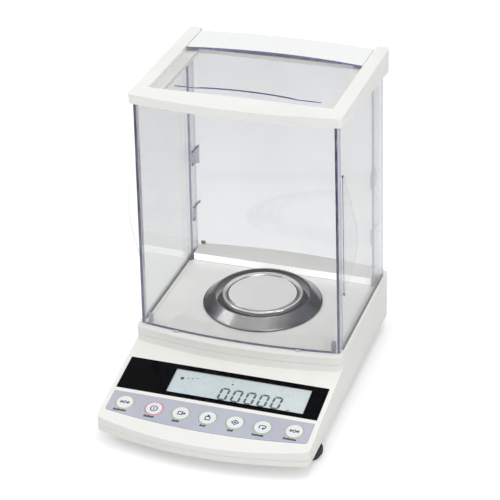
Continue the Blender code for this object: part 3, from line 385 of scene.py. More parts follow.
# Painted shade for the draught ring's two sides.
RING_SIDE_SHADE = (0.085, 0.088, 0.105, 1.0)
RING_STEEL = turned_steel(
    "ring_steel", (0.42, 0.408, 0.392, 1.0), 0.15, 0.24, 0.00035, 0.000008, side_shade=RING_SIDE_SHADE
)
# Dark steel: painted shade for the draught ring's inner wall and foot.
SHADE_STEEL = turned_steel("shaded_steel", (0.10, 0.10, 0.105, 1.0), 0.34, 0.46, 0.00035, 0.000008)
CAST = cast_metal("cast_aluminium", (0.62, 0.63, 0.64, 1.0), 0.46, 90.0)
SENSOR = cast_metal("sensor_alloy", (0.74, 0.74, 0.73, 1.0), 0.28, 140.0)
SCREW = cast_metal("screw_steel", (0.58, 0.58, 0.60, 1.0), 0.30, 300.0)
SHELL_METAL = cast_metal("plated_shell", (0.70, 0.70, 0.69, 1.0), 0.26, 200.0)
PIN_GOLD = cast_metal("gilt_pin", (0.83, 0.64, 0.30, 1.0), 0.24, 400.0)
CLEAR = acrylic("clear_acrylic", (0.900, 0.902, 0.908, 1.0), (0.945, 0.946, 0.949, 1.0))
DOOR_CLEAR = acrylic("door_acrylic", (0.878, 0.879, 0.876, 1.0), (0.898, 0.900, 0.895, 1.0))
LID_CLEAR = acrylic("lid_acrylic", (0.976, 0.977, 0.980, 1.0))
# The bends' dark line: the acrylic's tint with a painted reflection, darker towards the top.
CORNER_EDGE = sheet_edge("corner_edge", tone(38, 36, 80), tone(112, 116, 142), 0.98, 0.90)
CUT_EDGE = sheet_edge("cut_edge", tone(112, 112, 150), tone(132, 136, 162), 0.80, 0.70)
PALE_EDGE = sheet_edge("pale_edge", tone(186, 187, 200), tone(196, 197, 206), 0.45, 0.40)
LID_EDGE = sheet_edge("lid_edge", tone(112, 112, 164), tone(112, 112, 164), 0.85, 0.85)
FROSTED = frosted()
LCD = lcd_glass()
SEGMENT = printed("lcd_segment", tone(64, 78, 88), 0.30)
FILM = keypad_print()
INK = printed("caption_ink", tone(34, 34, 44))
SIGN_INK = printed("sign_ink", tone(50, 50, 62))
RINGS = {
    "olive": printed("olive_ink", tone(200, 198, 146)),
    "red": printed("red_ink", tone(208, 132, 150)),
    "green": printed("green_ink", tone(166, 198, 144)),
}
BOARD = board()
FLUID = fluid()
MARK_BLACK = printed("level_mark", tone(30, 32, 28))


# ---- shapes ----


def added(name, data):
    """A new object in the scene."""
    obj = bpy.data.objects.new(name, data)
    bpy.context.scene.collection.objects.link(obj)
    return obj


def smoothing(limit, rims):
    """Shades smooth below an angle, and gives chosen faces the piece's other materials."""
    tree = bpy.data.node_groups.new("smooth_faces", "GeometryNodeTree")
    tree.interface.new_socket("Geometry", in_out="INPUT", socket_type="NodeSocketGeometry")
    tree.interface.new_socket("Geometry", in_out="OUTPUT", socket_type="NodeSocketGeometry")
    recipe = Recipe(tree)
    mesh = recipe.node("NodeGroupInput").outputs[0]
    inputs = {"Geometry": mesh, "Name": "custom_normal"}
    mesh = recipe.node("GeometryNodeRemoveAttribute", inputs).outputs[0]
    inputs = {"Geometry": mesh, "Distance": 0.000001}
    mesh = recipe.node("GeometryNodeMergeByDistance", inputs).outputs[0]
    inputs = {"Geometry": mesh, "Shade Smooth": True}
    mesh = recipe.node("GeometryNodeSetShadeSmooth", inputs).outputs[0]
    angle = recipe.node("GeometryNodeInputMeshEdgeAngle").outputs[0]
    sharp = recipe.math("GREATER_THAN", angle, math.radians(limit))
    inputs = {"Geometry": mesh, "Selection": sharp, "Shade Smooth": False}
    mesh = recipe.node("GeometryNodeSetShadeSmooth", inputs, domain="EDGE").outputs[0]
    if rims:
        normal = recipe.parts(recipe.node("GeometryNodeInputNormal").outputs["True Normal"])
        place = recipe.parts(recipe.node("GeometryNodeInputPosition").outputs[0])
        for index, rule in enumerate(rims, start=1):
            inputs = {0: mesh, 1: rule(recipe, normal, place), 2: index}
            mesh = recipe.node("GeometryNodeSetMaterialIndex", inputs).outputs[0]
    recipe.node("NodeGroupOutput", {0: mesh})
    return tree


def shade(obj, limit=32.0, rims=()):
    modifier = obj.modifiers.new("smooth", "NODES")
    modifier.node_group = smoothing(limit, rims)
    weighted = obj.modifiers.new("weighted", "WEIGHTED_NORMAL")
    weighted.keep_sharp = True


def dress(name, *looks, limit=32.0, rims=()):
    """Gives a model node its materials and smooth shading."""
    obj = NODES[name]
    obj.data.materials.clear()
    for look in looks:
        obj.data.materials.append(look)
    shade(obj, limit, rims)


def piece(name, bm, body, slot, *looks, limit=32.0):
    """Closes a mesh and rides it on a body."""
    bmesh.ops.remove_doubles(bm, verts=bm.verts, dist=1e-7)
    bmesh.ops.recalc_face_normals(bm, faces=bm.faces)
    mesh = bpy.data.meshes.new(name)
    bm.to_mesh(mesh)
    bm.free()
    obj = added(name, mesh)
    for look in looks:
        mesh.materials.append(look)
    shade(obj, limit)
    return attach(obj, body)


def slab(bm, low, high, look=0):
    """Closes the space between two loops of points."""
    floor = [bm.verts.new(point) for point in low]
    roof = [bm.verts.new(point) for point in high]
    faces = [bm.faces.new(floor[::-1]), bm.faces.new(roof)]
    for i in range(len(floor)):
        j = (i + 1) % len(floor)
        faces.append(bm.faces.new((floor[i], floor[j], roof[j], roof[i])))
    for face in faces:
        face.material_index = look


def turned(bm, profile, centre, steps=96, looks=None, matrix=None, wobble=None):
    """Turns an (r, z) profile about a vertical axis. looks gives each band its material."""
    rings = []
    for radius, height in profile:
        count = 1 if radius < 1e-6 else steps
        ring = []
        for i in range(count):
            angle = math.tau * i / steps
            reach = radius + (wobble(i, radius) if wobble else 0.0)
            x, y = reach * math.cos(angle), reach * math.sin(angle)
            point = Vector((centre[0] + x, centre[1] + y, height))
            ring.append(bm.verts.new(matrix @ point if matrix else point))
        rings.append(ring)
    for band, (above, below) in enumerate(zip(rings, rings[1:])):
        for i in range(steps):
            j = i + 1
            corners = [
                above[i % len(above)],
                above[j % len(above)],
                below[j % len(below)],
                below[i % len(below)],
            ]
            face = bm.faces.new(list(dict.fromkeys(corners)))
            face.material_index = looks[band] if looks else 0


def filleted(points, radius, steps=4, closed=False):
    """Rounds the corners of a profile."""
    made = [] if closed else [points[0]]
    count = len(points)
    for i in range(count if closed else count - 2):
        before, corner, after = (Vector(points[(i + k) % count]) for k in range(3))
        back, on = before - corner, after - corner
        reach = min(radius, back.length / 2.1, on.length / 2.1)
        start = corner + back.normalized() * reach
        end = corner + on.normalized() * reach
        for k in range(steps + 1):
            t = k / steps
            made.append(tuple(start * (1 - t) ** 2 + corner * (2 * t * (1 - t)) + end * t**2))
    made.append(made[0] if closed else points[-1])
    return made


def rectangle(left, right, first, last):
    """Four corners, which go round from the left one on the first side."""
    return [(left, first), (right, first), (right, last), (left, last)]


def round_section(low, high):
    """The centre and the radius of a round node, from its box."""
    return ((low.x + high.x) / 2, (low.y + high.y) / 2), (high.x - low.x) / 2


def on_panel(x, down, rise):
    return PANEL @ Vector((x, -down, rise))


def mark(bm, points, low, high):
    """A flat printed shape on the sloping panel, from its (x, distance down) outline."""
    bottom = [on_panel(x, down, low) for x, down in points]
    top = [on_panel(x, down, high) for x, down in points]
    slab(bm, bottom, top)


def stroke(bm, points, width, low, high, closed=False):
    """A line of even width on the sloping panel."""
    count = len(points)
    sides = []
    for i, point in enumerate(points):
        here = Vector(point)
        before = Vector(points[i - 1]) if closed or i else None
        after = Vector(points[(i + 1) % count]) if closed or i < count - 1 else None
        ways = [(here - before).normalized()] if before else []
        ways += [(after - here).normalized()] if after else []
        along = sum(ways, Vector((0.0, 0.0))).normalized()
        across = Vector((-along.y, along.x)) * (width / 2 / max(along.dot(ways[0]), 0.5))
        sides.append((tuple(here - across), tuple(here + across)))
    for i in range(count if closed else count - 1):
        (a, b), (c, d) = sides[i], sides[(i + 1) % count]
        mark(bm, [a, c, d, b], low, high)


def arc(centre, radius, start, end, steps):
    """Points on part of a circle, in turns clockwise from the far side."""
    points = []
    for i in range(steps + 1):
        angle = math.tau * (start + (end - start) * i / steps)
        points.append((centre[0] + radius * math.sin(angle), centre[1] - radius * math.cos(angle)))
    return points


def circle(bm, centre, radius, steps, width, rise):
    """A ring of even width on the sloping panel."""
    stroke(bm, arc(centre, radius, 0, 1, steps)[:-1], width, *rise, True)


def leaning(x, y, z):
    return Vector((x * (1 - LEAN * (z - DECK_TOP)), y, z))


def level_slab(bm, outline, low, high):
    """A flat plate with an (x, y) outline, between two heights."""
    slab(bm, [(x, y, low) for x, y in outline], [(x, y, high) for x, y in outline])


def upright(bm, outline, low, high):
    """A post with an (x, y) outline that leans in with the chamber's sides."""
    slab(bm, [leaning(x, y, low) for x, y in outline], [leaning(x, y, high) for x, y in outline])


def side_plate(bm, inside, outside, outline):
    """A plate with a (y, z) outline, lying along one leaning side of the chamber."""
    near = [leaning(inside, y, z) for y, z in outline]
    far = [leaning(outside, y, z) for y, z in outline]
    slab(bm, near, far)


# ---- the model's own nodes ----


def across_depth(recipe, normal, place):
    """Faces that look forwards or backwards."""
    return recipe.math("GREATER_THAN", recipe.math("ABSOLUTE", normal[1]), 0.7)


def edge_faces(recipe, normal, place):
    """The cut edges of a nearly level sheet."""
    return recipe.math("LESS_THAN", recipe.math("ABSOLUTE", normal[2]), 0.6)


def back_faces(recipe, normal, place):
    return recipe.math("GREATER_THAN", normal[1], 0.5)


def front_faces(recipe, normal, place):
    return recipe.math("LESS_THAN", normal[1], -0.5)


def return_ends(recipe, normal, place):
    """The cut ends of a pane's side returns."""
    facing = recipe.math("GREATER_THAN", recipe.math("ABSOLUTE", normal[1]), 0.9)
    outboard = recipe.math("GREATER_THAN", recipe.math("ABSOLUTE", place[0]), 0.088)
    flat_across = recipe.math("LESS_THAN", recipe.math("ABSOLUTE", normal[0]), 0.03)
    both = recipe.math("MULTIPLY", facing, outboard)
    return recipe.math("MULTIPLY", both, flat_across)


def dress_nodes():
    dress("upper_case", HOUSING)
    dress("lower_case", LOWER_WHITE)
    dress("deck_cover", HOUSING)
    # The ledge's front and back faces take the glowing ledge plastic: painted light.
    dress("rear_ledge", HOUSING, LEDGE_PAINTED_LIGHT, rims=(across_depth,))
    dress("top_frame", FRAME_WHITE)
    dress("chamber_floor", FLOOR_ENAMEL)
    dress("display_bezel", GLOSS_BLACK)
    dress("lcd_panel", LCD)
    dress("display_window", LID_CLEAR, WELL_BLACK, rims=(edge_faces,))
    dress("keypad_film", FILM)
    for name in ("display_board", "key_board", "main_board"):
        dress(name, BOARD)
    for name in ("chassis", "overload_stop"):
        dress(name, CAST)
    dress("force_sensor", SENSOR)
    for name in ("serial_port", "power_inlet"):
        dress(name, BLACK_PLASTIC)
    for side in ("left", "right"):
        dress(f"{side}_pane_clip", PALE_GREY)
        dress(f"{side}_door_grip", PALE_EDGE, LID_CLEAR, rims=(across_depth,))
        dress(f"{side}_door", DOOR_CLEAR, PALE_EDGE, rims=(across_depth,))
    for name in ("pan_spindle", "pan_support"):
        dress(name, RING_STEEL)
    for place in PLACES:
        dress(f"foot_pad_{place}", RUBBER)
    dress("front_pane", CLEAR, PALE_EDGE, rims=(return_ends,))
    dress("rear_pane", CLEAR, CUT_EDGE, rims=(return_ends,))
    dress("lid_pane", LID_CLEAR, LID_EDGE, rims=(back_faces,))
    dress("lid_handle", FROSTED, LID_EDGE, rims=(front_faces,))


# ---- weighing parts ----


def make_pan():
    low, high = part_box("weighing_pan")
    radius = (high.x - low.x) / 2
    top = high.z
    flat = radius - 0.0060
    rim = 0.0014
    roll, roll_steps = 0.0018, 8
    profile = [
        (0.0, top - rim),
        (flat - 0.0008, top - rim),
        (flat - 0.0002, top - rim - 0.0005),
        (flat + 0.0007, top - rim * 0.75),
        (flat + 0.0026, top - 0.0002),
        (flat + 0.0036, top),
    ]
    for i in range(1, roll_steps + 1):
        angle = math.radians(90 - 90 * i / roll_steps)
        reach = radius - roll + roll * math.cos(angle)
        profile.append((reach, top - roll + roll * math.sin(angle)))
    profile += [
        (radius - 0.0002, top - 0.0040),
        (radius - 0.0006, low.z),
        (radius - 0.0016, low.z),
        (radius - 0.0014, top - 0.0026),
        (flat, top - 0.0032),
        (0.0, top - 0.0032),
    ]
    # The groove's two bands take the darker ring steel: painted shade in the groove.
    looks = [0, 2, 2, 1, 1] + [1] * roll_steps + [1] * 4 + [0, 0]
    bm = bmesh.new()
    turned(bm, profile, (0.0, PAN_Y), 160, looks)
    pan = piece("steel_pan", bm, "pan", "stainless_steel", PAN_STEEL, RIM_STEEL, RING_STEEL)
    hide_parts("weighing_pan")


def make_shade_disc():
    """A black disc on the floor, inside the draught ring: painted shade under the pan."""
    low, top = DECK_TOP + 0.0001, DECK_TOP + 0.0006
    hole, reach = 0.0086, 0.0468
    profile = [(hole, low), (hole + 0.0002, top), (reach - 0.0008, top), (reach, low), (hole, low)]
    bm = bmesh.new()
    turned(bm, profile, (0.0, PAN_Y), 96)
    piece("shade_disc", bm, "base", "black_rubber", RUBBER)


def make_draught_ring():
    low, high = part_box("draught_ring")
    foot = (high.x - low.x) / 2
    top_radius = foot - 0.0116
    bottom, top = low.z, high.z
    profile = [
        (top_radius + 0.0004, top),
        (foot - 0.0012, bottom + 0.0016),
        (foot, bottom + 0.0011),
        (foot, bottom),
        (foot - 0.0022, bottom),
        (foot - 0.0026, bottom + 0.0009),
        (top_radius - 0.0004, top - 0.0022),
        (top_radius - 0.0012, top - 0.0018),
        (top_radius - 0.0012, top - 0.0004),
        (top_radius - 0.0006, top),
    ]
    section = filleted(profile, 0.0005, closed=True)
    # The ring's inner wall and its foot band get the dark steel: painted shade.
    shaded_bands = []
    for start, end in zip(section, section[1:]):
        inside = end[1] > start[1] + 1e-6 and end[1] < top - 0.0001
        shaded_bands.append(int(inside or max(start[1], end[1]) < bottom + 0.0012))
    bm = bmesh.new()
    turned(bm, section, (0.0, PAN_Y), 160, shaded_bands)
    looks = (RING_STEEL, SHADE_STEEL)
    ring = piece("steel_draught_ring", bm, "draught_ring", "stainless_steel", *looks, limit=40.0)
    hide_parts("draught_ring")


# ---- display and keys ----

SEGMENT_RISE = (SHEET_FACE + 0.00001, SHEET_FACE + 0.00006)
SIGN_LINE = 0.0009  # the width of the lines in the keys' signs


def segment(bm, start, end, width):
    """One bar of a seven-segment figure, with pointed ends."""
    a, b = Vector(start), Vector(end)
    along = (b - a).normalized()
    across = Vector((-along.y, along.x)) * width / 2
    tip = along * width / 2
    points = [a, a + tip + across, b - tip + across, b, b - tip - across, a + tip - across]
    mark(bm, [tuple(point) for point in points], *SEGMENT_RISE)


def make_digits():
    """Five seven-segment zeros, leaning a little to the right."""
    bm = bmesh.new()
    height, width, bar, lean, gap = 0.0170, 0.0096, 0.0022, 0.07, 0.0003
    far, first, pitch = 0.0460, 0.0045, 0.01327
    for i in range(5):
        left = first + pitch * i - width / 2

        def corner(side, share):
            down = far + bar / 2 + (height - bar) * share
            slant = lean * (far + height - down)
            return (left + bar / 2 + (width - bar) * side + slant - lean * height, down)

        step = gap / height
        for side in (0, 1):
            for start, end in ((0.0, 0.5), (0.5, 1.0)):
                segment(bm, corner(side, start + step), corner(side, end - step), bar)
        for share in (0.0, 1.0):
            inset = gap / width
            segment(bm, corner(inset, share), corner(1 - inset, share), bar)
    piece("lcd_digits", bm, "base", "lcd_glass", SEGMENT)


def make_lcd_signs():
    bm = bmesh.new()
    low, high = SEGMENT_RISE
    circle(bm, (-0.0425, 0.0425), 0.0011, 16, 0.0016, SEGMENT_RISE)
    for i in range(3):
        x = -0.0375 + 0.0045 * i
        down = 0.0418 - 0.0009 * i
        stroke(bm, [(x, down), (x + 0.0014, down - 0.0008)], 0.0010, low, high)
    circle(bm, (0.0082, 0.0400), 0.0005, 10, 0.0009, SEGMENT_RISE)
    stroke(bm, [(0.0690, 0.0622), (0.0702, 0.0606)], 0.0009, low, high)
    stroke(bm, [(0.0707, 0.0622), (0.0719, 0.0606)], 0.0009, low, high)
    piece("lcd_signs", bm, "base", "lcd_glass", SEGMENT)


def make_display_sheet():
    """The display's front sheet, which fills the window, with rounded corners."""
    left, right, near, far, corner = -0.0518, 0.0858, 0.0636, 0.0311, 0.0014
    outline = []
    for x, down, start in (
        (right - corner, far + corner, 0.0),
        (right - corner, near - corner, 0.25),
        (left + corner, near - corner, 0.50),
        (left + corner, far + corner, 0.75),
    ):
        outline += arc((x, down), corner, start, start + 0.25, 6)
    bm = bmesh.new()
    mark(bm, outline, SHEET_FACE - 0.0003, SHEET_FACE)
    piece("display_sheet", bm, "base", "lcd_glass", LCD)
    bm = bmesh.new()
    edge = 0.0002
    corners = rectangle(left - edge, right + edge, far - edge, near + edge)
    mark(bm, corners, SHEET_FACE - 0.0010, SHEET_FACE - 0.0004)
    piece("display_gasket", bm, "base", "black_panel", WELL_BLACK)


def sign_zero(bm, x, down, rise):
    circle(bm, (x, down), 0.0015, 18, SIGN_LINE, rise)
    for way in (-1, 1):
        tip = x + way * 0.0024
        far = tip + way * 0.0017
        stroke(bm, [(far, down - 0.0017), (tip, down), (far, down + 0.0017)], SIGN_LINE, *rise)
        end = far + way * 0.0010
        stroke(bm, [(tip + way * 0.0002, down), (end, down)], SIGN_LINE, *rise)


def sign_power(bm, x, down, rise):
    circle(bm, (x, down), 0.0033, 26, SIGN_LINE, rise)
    stroke(bm, [(x, down - 0.0017), (x, down + 0.0017)], SIGN_LINE, *rise)


def sign_sheet(bm, x, down, rise):
    w, h = 0.0026, 0.0019
    loop = rectangle(x - w, x + w * 0.6, down - h, down + h)
    stroke(bm, loop, SIGN_LINE, *rise, True)
    stroke(bm, [(x + 0.0004, down), (x + 0.0042, down)], SIGN_LINE, *rise)
    tip = [(x + 0.0030, down - 0.0014), (x + 0.0044, down), (x + 0.0030, down + 0.0014)]
    stroke(bm, tip, SIGN_LINE, *rise)


def sign_weight(bm, x, down, rise):
    w, h = 0.0022, 0.0028
    loop = rectangle(x - w, x + w, down - h * 0.5, down + h)
    stroke(bm, loop, SIGN_LINE, *rise, True)
    stroke(bm, [(x - w * 0.55, down - h), (x + w * 0.55, down - h)], 0.0016, *rise)


def sign_diamond(bm, x, down, rise):
    r = 0.0030
    loop = [(x, down - r), (x + r * 1.15, down), (x, down + r), (x - r * 1.15, down)]
    stroke(bm, loop, SIGN_LINE, *rise, True)
    circle(bm, (x, down), 0.0006, 10, SIGN_LINE, rise)


def sign_cycle(bm, x, down, rise):
    w, h, c = 0.0032, 0.0018, 0.0009  # half width, half height and the corners' cut
    path = [
        (x - w + 0.0012, down + h),
        (x - w + c, down + h),
        (x - w, down + h - c),
        (x - w, down - h + c),
        (x - w + c, down - h),
        (x + w - c, down - h),
        (x + w, down - h + c),
        (x + w, down + h - c),
        (x + w - c, down + h),
        (x + 0.0002, down + h),
    ]
    stroke(bm, path, SIGN_LINE, *rise)
    near = down + h
    tip = [(x + 0.0016, near - 0.0012), (x + 0.0003, near), (x + 0.0016, near + 0.0012)]
    stroke(bm, tip, SIGN_LINE, *rise)


SIGNS = {
    "zero": sign_zero,
    "power": sign_power,
    "sheet": sign_sheet,
    "weight": sign_weight,
    "diamond": sign_diamond,
    "cycle": sign_cycle,
}


def make_keys():
    """White caps with a coloured rim, each with its sign."""
    under, stem, stem_end = -0.0018, 0.0030, -0.0044
    profile = [
        (0.0, KEY_TOP),
        (KEY_RADIUS - 0.0011, KEY_TOP),
        (KEY_RADIUS - 0.0004, KEY_TOP),
        (KEY_RADIUS - 0.0001, KEY_TOP - 0.0002),
        (KEY_RADIUS, KEY_TOP - 0.0005),
        (KEY_RADIUS, under),
        (stem, under),
        (stem, stem_end),
        (0.0, stem_end),
    ]
    for name, (x, down, ring, sign, _) in KEYS.items():
        bm = bmesh.new()
        place = PANEL @ Matrix.Translation((x, -down, 0.0))
        turned(bm, profile, (0.0, 0.0), 64, [0, 1, 1] + [0] * 5, place)
        cap = piece(f"key_cap_{name}", bm, f"key_{name}", "key_white", KEY_WHITE, RINGS[ring])
        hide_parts(f"key_{name}")
        bm = bmesh.new()
        SIGNS[sign](bm, x, down, (KEY_TOP, KEY_TOP + 0.00006))
        piece(f"key_sign_{name}", bm, f"key_{name}", "key_white", SIGN_INK)


CAPTION_FOOT = 0.0120  # how far below its key's centre a caption ends


def make_captions():
    """A row of plain short strokes below each key."""
    bm = bmesh.new()
    rise = (FILM_TOP, FILM_TOP + 0.00005)
    pitch, width, slant, small, capital = 0.00145, 0.0012, 0.0006, 0.0021, 0.0028
    for x, down, _, _, strokes in KEYS.values():
        for i in range(strokes):
            left = x + pitch * (i - strokes / 2) - width
            below = down + CAPTION_FOOT
            tall = small if i % 3 else capital
            stroke(bm, [(left, below), (left + slant, below - tall)], width, *rise)
    piece("key_captions", bm, "base", "keypad_film", INK)


# ---- chamber trim ----


def make_corner_strips():
    """Dark strips inside the front pane's bends: the acrylic's tint and a painted reflection of dark
    things.
    """
    low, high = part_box("front_pane")
    for side, sign in SIDES:
        bm = bmesh.new()
        outline = rectangle(sign * 0.0998, sign * 0.1020, -0.0239, -0.0224)
        upright(bm, outline, low.z + 0.0004, high.z - 0.0004)
        piece(f"{side}_corner_dark_line", bm, "base", "clear_acrylic", CORNER_EDGE)


PIN_PROFILE = [(0.0, 0.0009), (0.0009, 0.0008), (0.0012, 0.0004), (0.0012, -0.0006), (0.0, -0.0006)]


def make_door_trim():
    """The glide along each door's foot and the pin at each end of its grip."""
    for side, sign in SIDES:
        low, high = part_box(f"{side}_door")
        bm = bmesh.new()
        outline = rectangle(sign * 0.1011, sign * 0.1029, low.y + 0.0006, high.y - 0.0006)
        upright(bm, outline, low.z + 0.0003, low.z + 0.0026)
        piece(f"{side}_door_glide", bm, f"{side}_door", "black_plastic", CLIP_GREY)
        grip_low, grip_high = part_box(f"{side}_door_grip")
        bm = bmesh.new()
        middle = (grip_low.y + grip_high.y) / 2
        for height in (grip_low.z + 0.0020, grip_high.z - 0.0020):
            centre = leaning(sign * 0.1032, middle, height)
            turn = Matrix.Translation(centre) @ Matrix.Rotation(math.radians(90 * sign), 4, "Y")
            turned(bm, PIN_PROFILE, (0.0, 0.0), 20, matrix=turn)
        piece(f"{side}_grip_pins", bm, f"{side}_door", "black_plastic", CLIP_GREY)
        bm = bmesh.new()
        line = rectangle(sign * 0.1031, sign * 0.1035, middle - 0.0006, middle + 0.0006)
        upright(bm, line, grip_low.z + 0.0030, grip_high.z - 0.0030)
        piece(f"{side}_grip_weld", bm, f"{side}_door", "clear_acrylic", CUT_EDGE)


def make_lid_line():
    """The bowed finger ridge near the lid's front edge, straight towards its ends."""
    _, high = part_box("lid_pane")
    half, shoulder, middle, straight, width = 0.0480, 0.0085, 0.0128, 0.0078, 0.0018
    steps = 24
    left, right = -0.0690, 0.0745
    path = []
    for i in range(steps + 1):
        x = left + (right - left) * i / steps
        bow = middle - (middle - shoulder) * (x / half) ** 2
        path.append((x, bow if abs(x) < half else straight))
    bm = bmesh.new()
    for (xa, ya), (xb, yb) in zip(path, path[1:]):
        wide = width if abs(xa + xb) / 2 < half else width / 2
        outline = [(xa, ya), (xb, yb), (xb, yb + wide), (xa, ya + wide)]
        level_slab(bm, outline, high.z - 0.0002, high.z + 0.0004)
    piece("lid_finger_ridge", bm, "lid", "clear_acrylic", LID_EDGE)


CATCH_BACK = 0.1130  # the catches start at this depth, on the pane's returns
UPPER_CATCH = [(0.1165, 0.1760), (0.1330, 0.1690), (0.1330, 0.1895), (CATCH_BACK, 0.1905)]
LOWER_CATCH = [(0.1175, 0.1120), (0.1205, 0.1240), (CATCH_BACK, 0.1240)]
CATCH_LINES = (
    # (end, height at the start, height at the end)
    (0.1330, 0.1905, 0.1895),
    (0.1170, 0.1755, 0.1765),
    (0.1330, 0.1262, 0.1246),
    (0.1180, 0.1115, 0.1125),
)


def make_rear_catches():
    """Moulded catches on the rear pane's returns, which hold it to the posts."""
    for side, sign in SIDES:
        bm = bmesh.new()
        inside, outside = sign * 0.0958, sign * 0.0972
        side_plate(bm, inside, outside, [(CATCH_BACK, 0.1760), *UPPER_CATCH])
        side_plate(bm, inside, outside, [(CATCH_BACK, 0.1120), *LOWER_CATCH])
        piece(f"{side}_rear_catch", bm, "base", "clear_acrylic", PALE_EDGE)
        bm = bmesh.new()
        half = 0.0005
        for end, height, end_height in CATCH_LINES:
            outline = [(CATCH_BACK, height - half), (end, end_height - half)]
            outline += [(end, end_height + half), (CATCH_BACK, height + half)]
            side_plate(bm, sign * 0.0955, sign * 0.0974, outline)
        piece(f"{side}_catch_lines", bm, "base", "clear_acrylic", CUT_EDGE)


def make_ledge_clips():
    """Dark seals where the ledge meets the doors, and a small clip behind each."""
    for side, sign in SIDES:
        bm = bmesh.new()
        inside, outside = sign * 0.0979, sign * 0.0999
        seal = [(0.1085, DECK_TOP), (0.1240, DECK_TOP), (0.1240, 0.0715), (0.1130, 0.0730)]
        side_plate(bm, inside, outside, seal)
        x = sign * 0.0935
        level_slab(bm, rectangle(x - 0.0022, x + 0.0022, 0.1322, 0.1338), 0.0737, 0.0768)
        piece(f"{side}_ledge_clip", bm, "base", "black_plastic", CLIP_GREY)


def make_pane_foot():
    """The bright lower edge of the front pane, with its two locating tabs."""
    low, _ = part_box("front_pane")
    half, depth, bow, bow_half = 0.0980, -0.0241, 0.0085, 0.1026
    steps = 24

    def pane_y(x):
        return depth - bow * (1 - (x / bow_half) ** 2)

    path = []
    for i in range(steps + 1):
        x = -half + 2 * half * i / steps
        path.append((x, pane_y(x)))
    bm = bmesh.new()
    for (xa, ya), (xb, yb) in zip(path, path[1:]):
        outline = [(xa, ya), (xb, yb), (xb, yb + 0.0016), (xa, ya + 0.0016)]
        level_slab(bm, outline, low.z + 0.0002, low.z + 0.0012)
    piece("front_pane_foot", bm, "base", "clear_acrylic", CUT_EDGE)
    bm = bmesh.new()
    for x in (-0.0640, 0.0625):
        back = pane_y(x) - 0.0015
        front = back - 0.0012
        outline = [(x - 0.0030, back), (x + 0.0030, back), (x + 0.0024, front), (x - 0.0024, front)]
        level_slab(bm, outline, DECK_TOP, DECK_TOP + 0.0022)
    piece("front_pane_tabs", bm, "base", "housing", PALE_GREY)


def make_level():
    """A bull's-eye level: a black collar, green spirit, a black circle and the bubble."""
    low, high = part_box("level_vial")
    centre, radius = round_section(low, high)
    top = high.z
    bm = bmesh.new()
    profile = [
        (0.0, top - 0.0004),
        (radius - 0.0012, top - 0.0004),
        (radius - 0.0012, top),
        (radius - 0.0002, top),
        (radius, top - 0.0002),
        (radius, low.z),
        (0.0, low.z),
    ]
    turned(bm, profile, centre, 64, [1, 0, 0, 0, 0, 0])
    vial = piece("level_body", bm, "base", "level_fluid", BLACK_PLASTIC, FLUID)
    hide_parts("level_vial")
    bm = bmesh.new()
    loop = rectangle(0.0013, 0.0015, top - 0.0004, top - 0.0003)
    loop.append(loop[0])
    turned(bm, loop, centre, 48)
    piece("level_circle", bm, "base", "level_fluid", MARK_BLACK)
    bm = bmesh.new()
    dome = [
        (0.0, top - 0.00022),
        (0.0005, top - 0.00025),
        (0.0008, top - 0.00033),
        (0.0009, top - 0.00040),
        (0.0, top - 0.00042),
    ]
    turned(bm, dome, (centre[0] + 0.0002, centre[1] - 0.0001), 32)
    piece("level_bubble", bm, "base", "level_fluid", LID_CLEAR)


# ---- feet, screws and sockets ----


def make_knobs():
    for place in PLACES:
        low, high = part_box(f"foot_knob_{place}")
        centre, radius = round_section(low, high)
        bottom, top = low.z, low.z + 0.0069
        profile = [
            (0.0, high.z),
            (0.0025, high.z),
            (0.0030, high.z - 0.0005),
            (0.0030, top + 0.0004),
            (0.0060, top),
            (radius - 0.0012, top - 0.0004),
            (radius - 0.0004, top - 0.0009),
            (radius, top - 0.0016),
            (radius, bottom + 0.0014),
            (radius - 0.0006, bottom + 0.0006),
            (radius - 0.0016, bottom),
            (0.0, bottom),
        ]

        def knurl(i, reach):
            return -0.0007 if reach > 0.0120 and i % 6 < 2 else 0.0

        bm = bmesh.new()
        turned(bm, profile, centre, 144, wobble=knurl)
        knob = piece(f"knurled_knob_{place}", bm, f"knob_{place}", "black_plastic", BLACK_PLASTIC)
        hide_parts(f"foot_knob_{place}")


def make_screws():
    for place in PLACES:
        low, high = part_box(f"case_screw_{place}")
        centre, radius = round_section(low, high)
        bottom = low.z
        profile = [
            (0.0, high.z),
            (0.0010, high.z),
            (0.0014, high.z - 0.0008),
            (0.0014, bottom + 0.0024),
            (radius, bottom + 0.0022),
            (radius, bottom + 0.0010),
            (radius - 0.0004, bottom + 0.0004),
            (radius - 0.0010, bottom + 0.0001),
            (0.0015, bottom),
            (0.0011, bottom + 0.0009),
            (0.0, bottom + 0.0012),
        ]
        bm = bmesh.new()
        turned(bm, profile, centre, 40)
        screw = piece(f"screw_{place}", bm, "base", "screw_steel", SCREW)
        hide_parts(f"case_screw_{place}")


CONTACT_PROFILE = [(0.0, 0.0003), (0.00045, 0.0002), (0.0005, 0.0), (0.0005, -0.0012), (0.0, -0.0012)]
JACK_PROFILE = [
    (0.0, 0.0),
    (0.0011, 0.0),
    (0.0011, 0.0022),
    (0.0022, 0.0022),
    (0.0023, 0.0019),
    (0.0023, -0.0006),
    (0.0, -0.0006),
]


